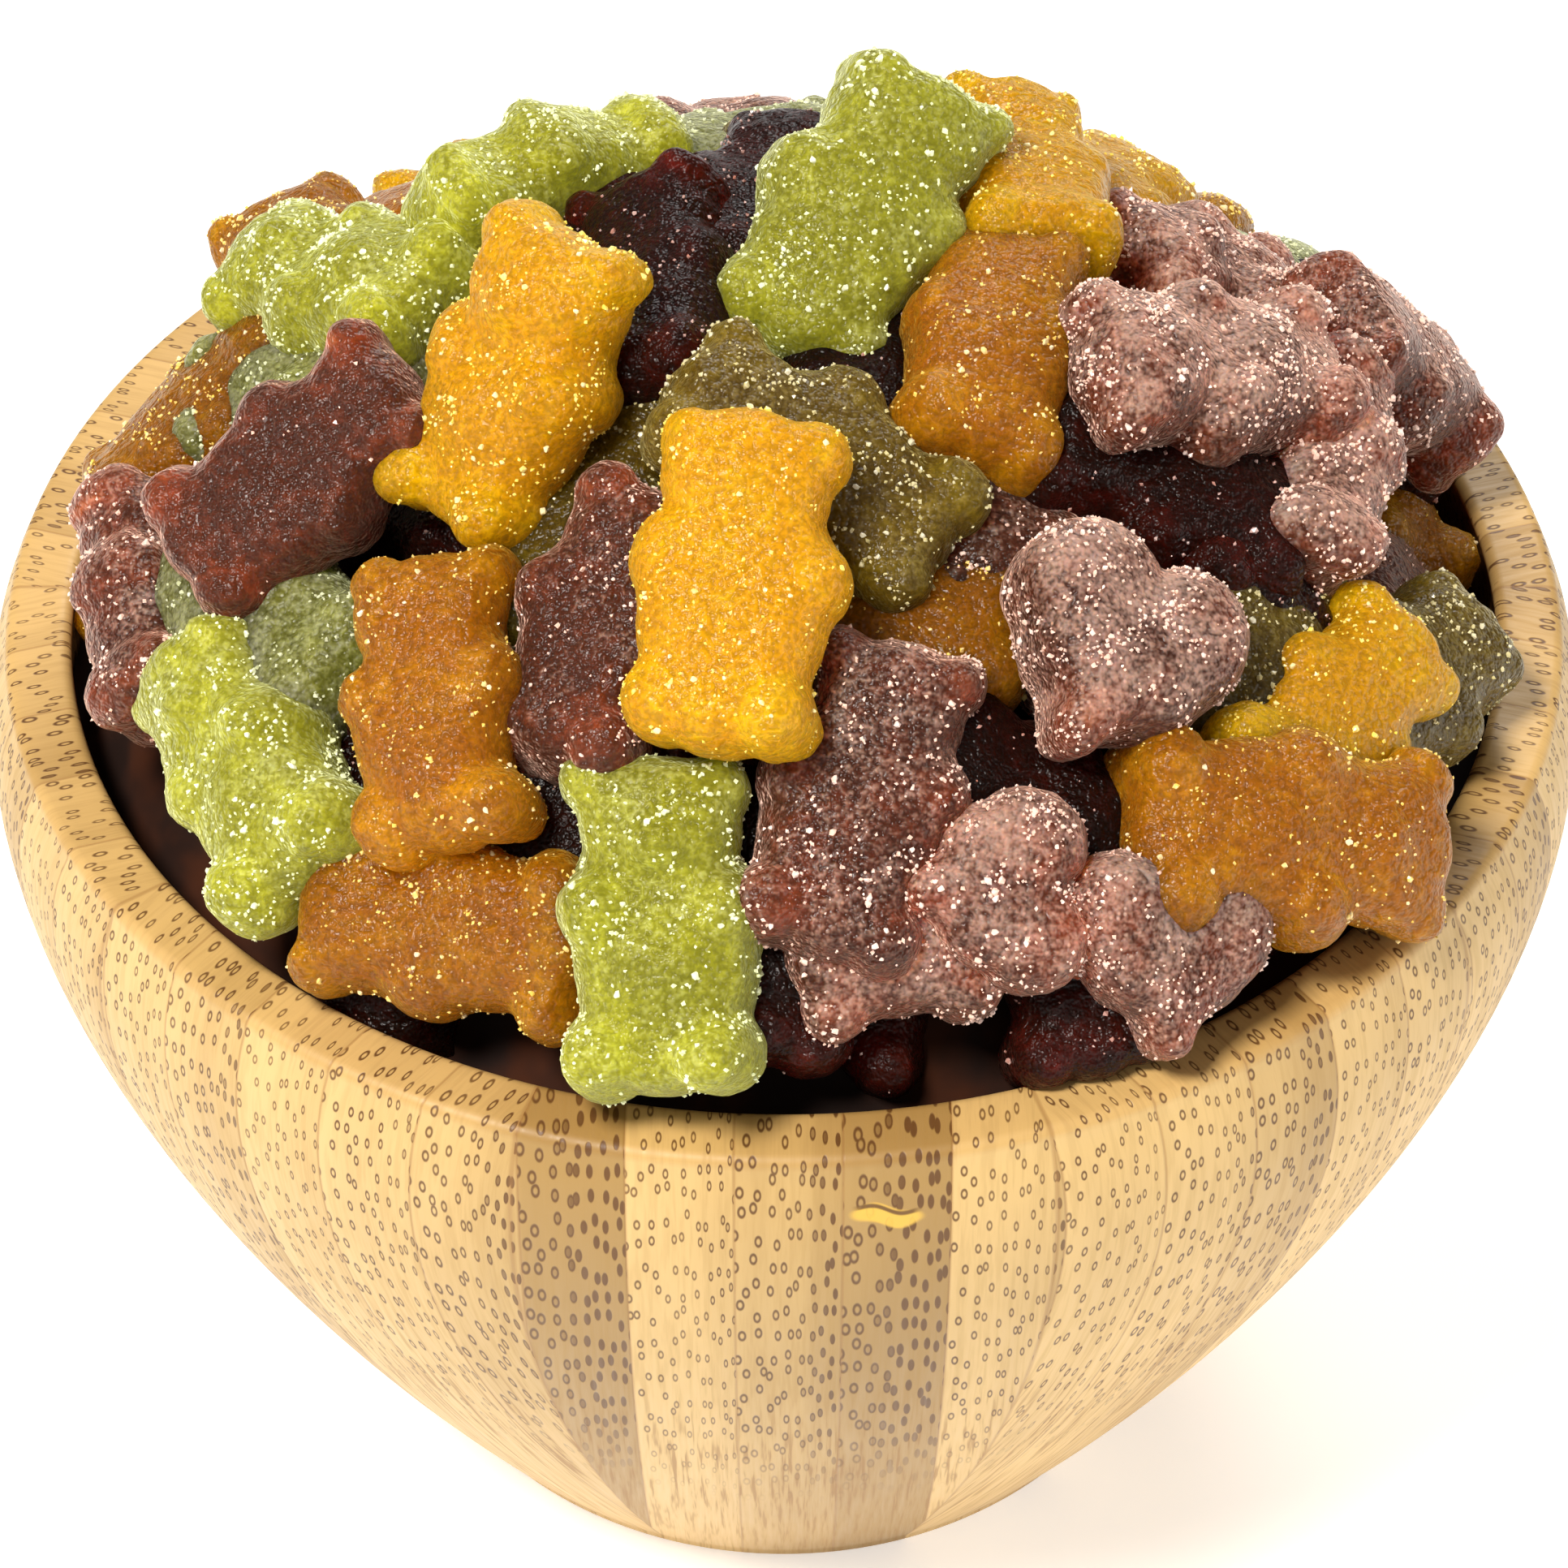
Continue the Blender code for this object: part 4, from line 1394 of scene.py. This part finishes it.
    def build(self, sugars: list[Sugar]) -> dict[Flavour, bpy.types.Object]:
        """Lays every sweet and joins those of one flavour into one piece.

        Args:
            sugars: the kinds of crystal to dust the sweets with.

        Returns:
            The piece of each flavour.
        """
        meshes: dict[Flavour, list[bpy.types.Mesh]] = {flavour: [] for flavour in Flavour}
        everything = [(sweet, self.fine_voxel) for sweet in NEAR_SWEETS]
        everything += [(sweet, self.plain_voxel) for sweet in self.fill()]
        for number, (lying, voxel) in enumerate(everything):
            mesh = self.lay(lying, number, voxel)
            finish = FINISHES[lying.flavour]
            for sugar in (kind for kind in sugars if lying.flavour in kind.flavours):
                sugar.dust(mesh, finish.frost, lying.frost * finish.sugar, self)
            meshes[lying.flavour].append(mesh)
        pieces = {}
        for flavour, cast in meshes.items():
            name = f"sweets_{flavour.value}"
            objects = [show(f"{name}_{i}", mesh) for i, mesh in enumerate(cast)]
            with bpy.context.temp_override(active_object=objects[0], selected_editable_objects=objects):
                bpy.ops.object.join()
            pieces[flavour] = objects[0]
            pieces[flavour].name = pieces[flavour].data.name = name
            log.info("%s: %d sweets, %d faces", name, len(cast), len(pieces[flavour].data.polygons))
        return pieces


# ---------------------------------------------------------------------------------------------
# The studio
# ---------------------------------------------------------------------------------------------


@dataclass(frozen=True)
class Softbox:
    """A square soft light: where it hangs, the height it faces, its side and its watts."""

    name: str
    place: Point3
    aim_height: float
    size: float
    power: float
    colour: Colour = (1.0, 0.985, 0.96)

    def hang(self) -> None:
        """Hangs the light, facing the upright axis."""
        light = bpy.data.lights.new(self.name, "AREA")
        light.shape, light.size, light.energy, light.color = "SQUARE", self.size, self.power, self.colour
        obj = bpy.data.objects.new(self.name, light)
        obj.location = self.place
        aim = Vector((0, 0, self.aim_height)) - Vector(self.place)
        obj.rotation_euler = aim.to_track_quat("-Z", "Y").to_euler()
        bpy.context.scene.collection.objects.link(obj)


@dataclass
class Studio:
    """A pale floor, soft light and the camera."""

    lens: float = 111.8
    distance: float = 361.3 * MM
    elevation: float = 41.1
    pitch: float = 2.32
    aim_height: float = 76 * MM
    lights: tuple[Softbox, ...] = (
        Softbox("key", (-0.18, -0.24, 0.56), 0.08, 0.13, 4.2, (1.0, 0.97, 0.92)),
        Softbox("back", (0.10, 0.50, 0.45), 0.08, 0.30, 2.2, (1.0, 1.0, 1.0)),
        Softbox("front", (0.05, -0.70, 0.16), 0.05, 0.50, 0.7),
        Softbox("left", (-0.62, -0.12, 0.16), 0.05, 0.40, 0.7),
        Softbox("right", (0.62, -0.12, 0.16), 0.05, 0.40, 1.6),
    )

    def floor(self) -> bpy.types.Object:
        """A wide plain floor, lifted a little by its own light."""
        bm = bmesh.new()
        bmesh.ops.create_grid(bm, x_segments=1, y_segments=1, size=1.5)
        floor = show("floor", mesh_from(bm, "floor"))
        material, tree, shader = principled("pale_floor")
        values = {
            "Base Color": (0.93, 0.93, 0.92),
            "Roughness": 0.9,
            "Emission Color": (1.0, 1.0, 1.0),
            "Emission Strength": 0.42,
        }
        tree.wire(shader, values)
        floor.data.materials.append(material)
        return floor

    def camera(self) -> None:
        """Sets up the camera."""
        data = bpy.data.cameras.new("camera")
        data.lens, data.sensor_width, data.clip_start = self.lens, 36.0, 0.01
        camera = bpy.data.objects.new("camera", data)
        rise = math.radians(self.elevation)
        back, up = self.distance * math.cos(rise), self.distance * math.sin(rise)
        camera.location = (0, -back, self.aim_height + up)
        camera.rotation_euler = (math.pi / 2 - rise - math.radians(self.pitch), 0, 0)
        bpy.context.scene.collection.objects.link(camera)
        bpy.context.scene.camera = camera

    def build(self) -> None:
        """Sets the floor, the lights, the surroundings and the camera."""
        self.floor()
        for light in self.lights:
            light.hang()
        world = bpy.data.worlds.new("surroundings")
        world.use_nodes = True
        tree = Tree(world.node_tree)
        tree.wire(world.node_tree.nodes["Background"], {"Color": (1.0, 1.0, 1.0), "Strength": 0.20})
        bpy.context.scene.world = world
        bpy.context.scene.view_settings.view_transform = "Standard"
        self.camera()


def dress(piece: bpy.types.Object, material: bpy.types.Material, slot: str, *nodes: str) -> None:
    """Gives a piece its material and its body, and hides the nodes it stands for.

    Args:
        piece: the piece.
        material: its material.
        slot: the material slot's name, which is not used.
        nodes: the CAD nodes it replaces.
    """
    piece.data.materials.clear()
    piece.data.materials.append(material)
    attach(piece, "root")
    if nodes:
        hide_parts(*nodes)
    log.info("%s: %d faces, %s", piece.name, len(piece.data.polygons), material.name)


def main() -> None:
    """Builds the bowl, its sweets, the sugar and the studio."""
    logging.basicConfig(level=logging.INFO, format="%(name)s: %(message)s")
    bowl = Bowl()
    dress(bowl.build(), BambooFinish().material(bamboo_stave_group()), "bamboo", "bowl")
    heap = Heap(bowl)
    dress(heap.core(), CoreFinish().material(), "gummy", "gummy_heap")
    sugars = [
        Sugar("sugar_yellow", (LEMON, AMBER), seed=4, white=0.08),
        Sugar("sugar_green", (LIME, SAGE, OLIVE), seed=5, white=0.15),
        Sugar(
            "sugar_red",
            (RUSSET, PLUM),
            seed=6,
            white=0.25,
            large=0.36 * MM,
            per_mm2=2.3,
            sunk=0.3,
            clumped=2.6,
        ),
        Sugar(
            "sugar_coarse",
            tuple(Flavour),
            seed=7,
            white=0.4,
            small=0.26 * MM,
            large=0.58 * MM,
            per_mm2=0.2,
            blocky=True,
            sunk=0.4,
            clumped=5.0,
        ),
    ]
    crust = sugar_crust_group()
    for flavour, piece in heap.build(sugars).items():
        dress(piece, FINISHES[flavour].material(crust), "gummy", "gummy_heap")
    crystal = SugarFinish().material()
    for sugar in sugars:
        dress(sugar.build(), crystal, "gummy", "gummy_heap")
    Studio().build()


if __name__ == "__main__":
    main()
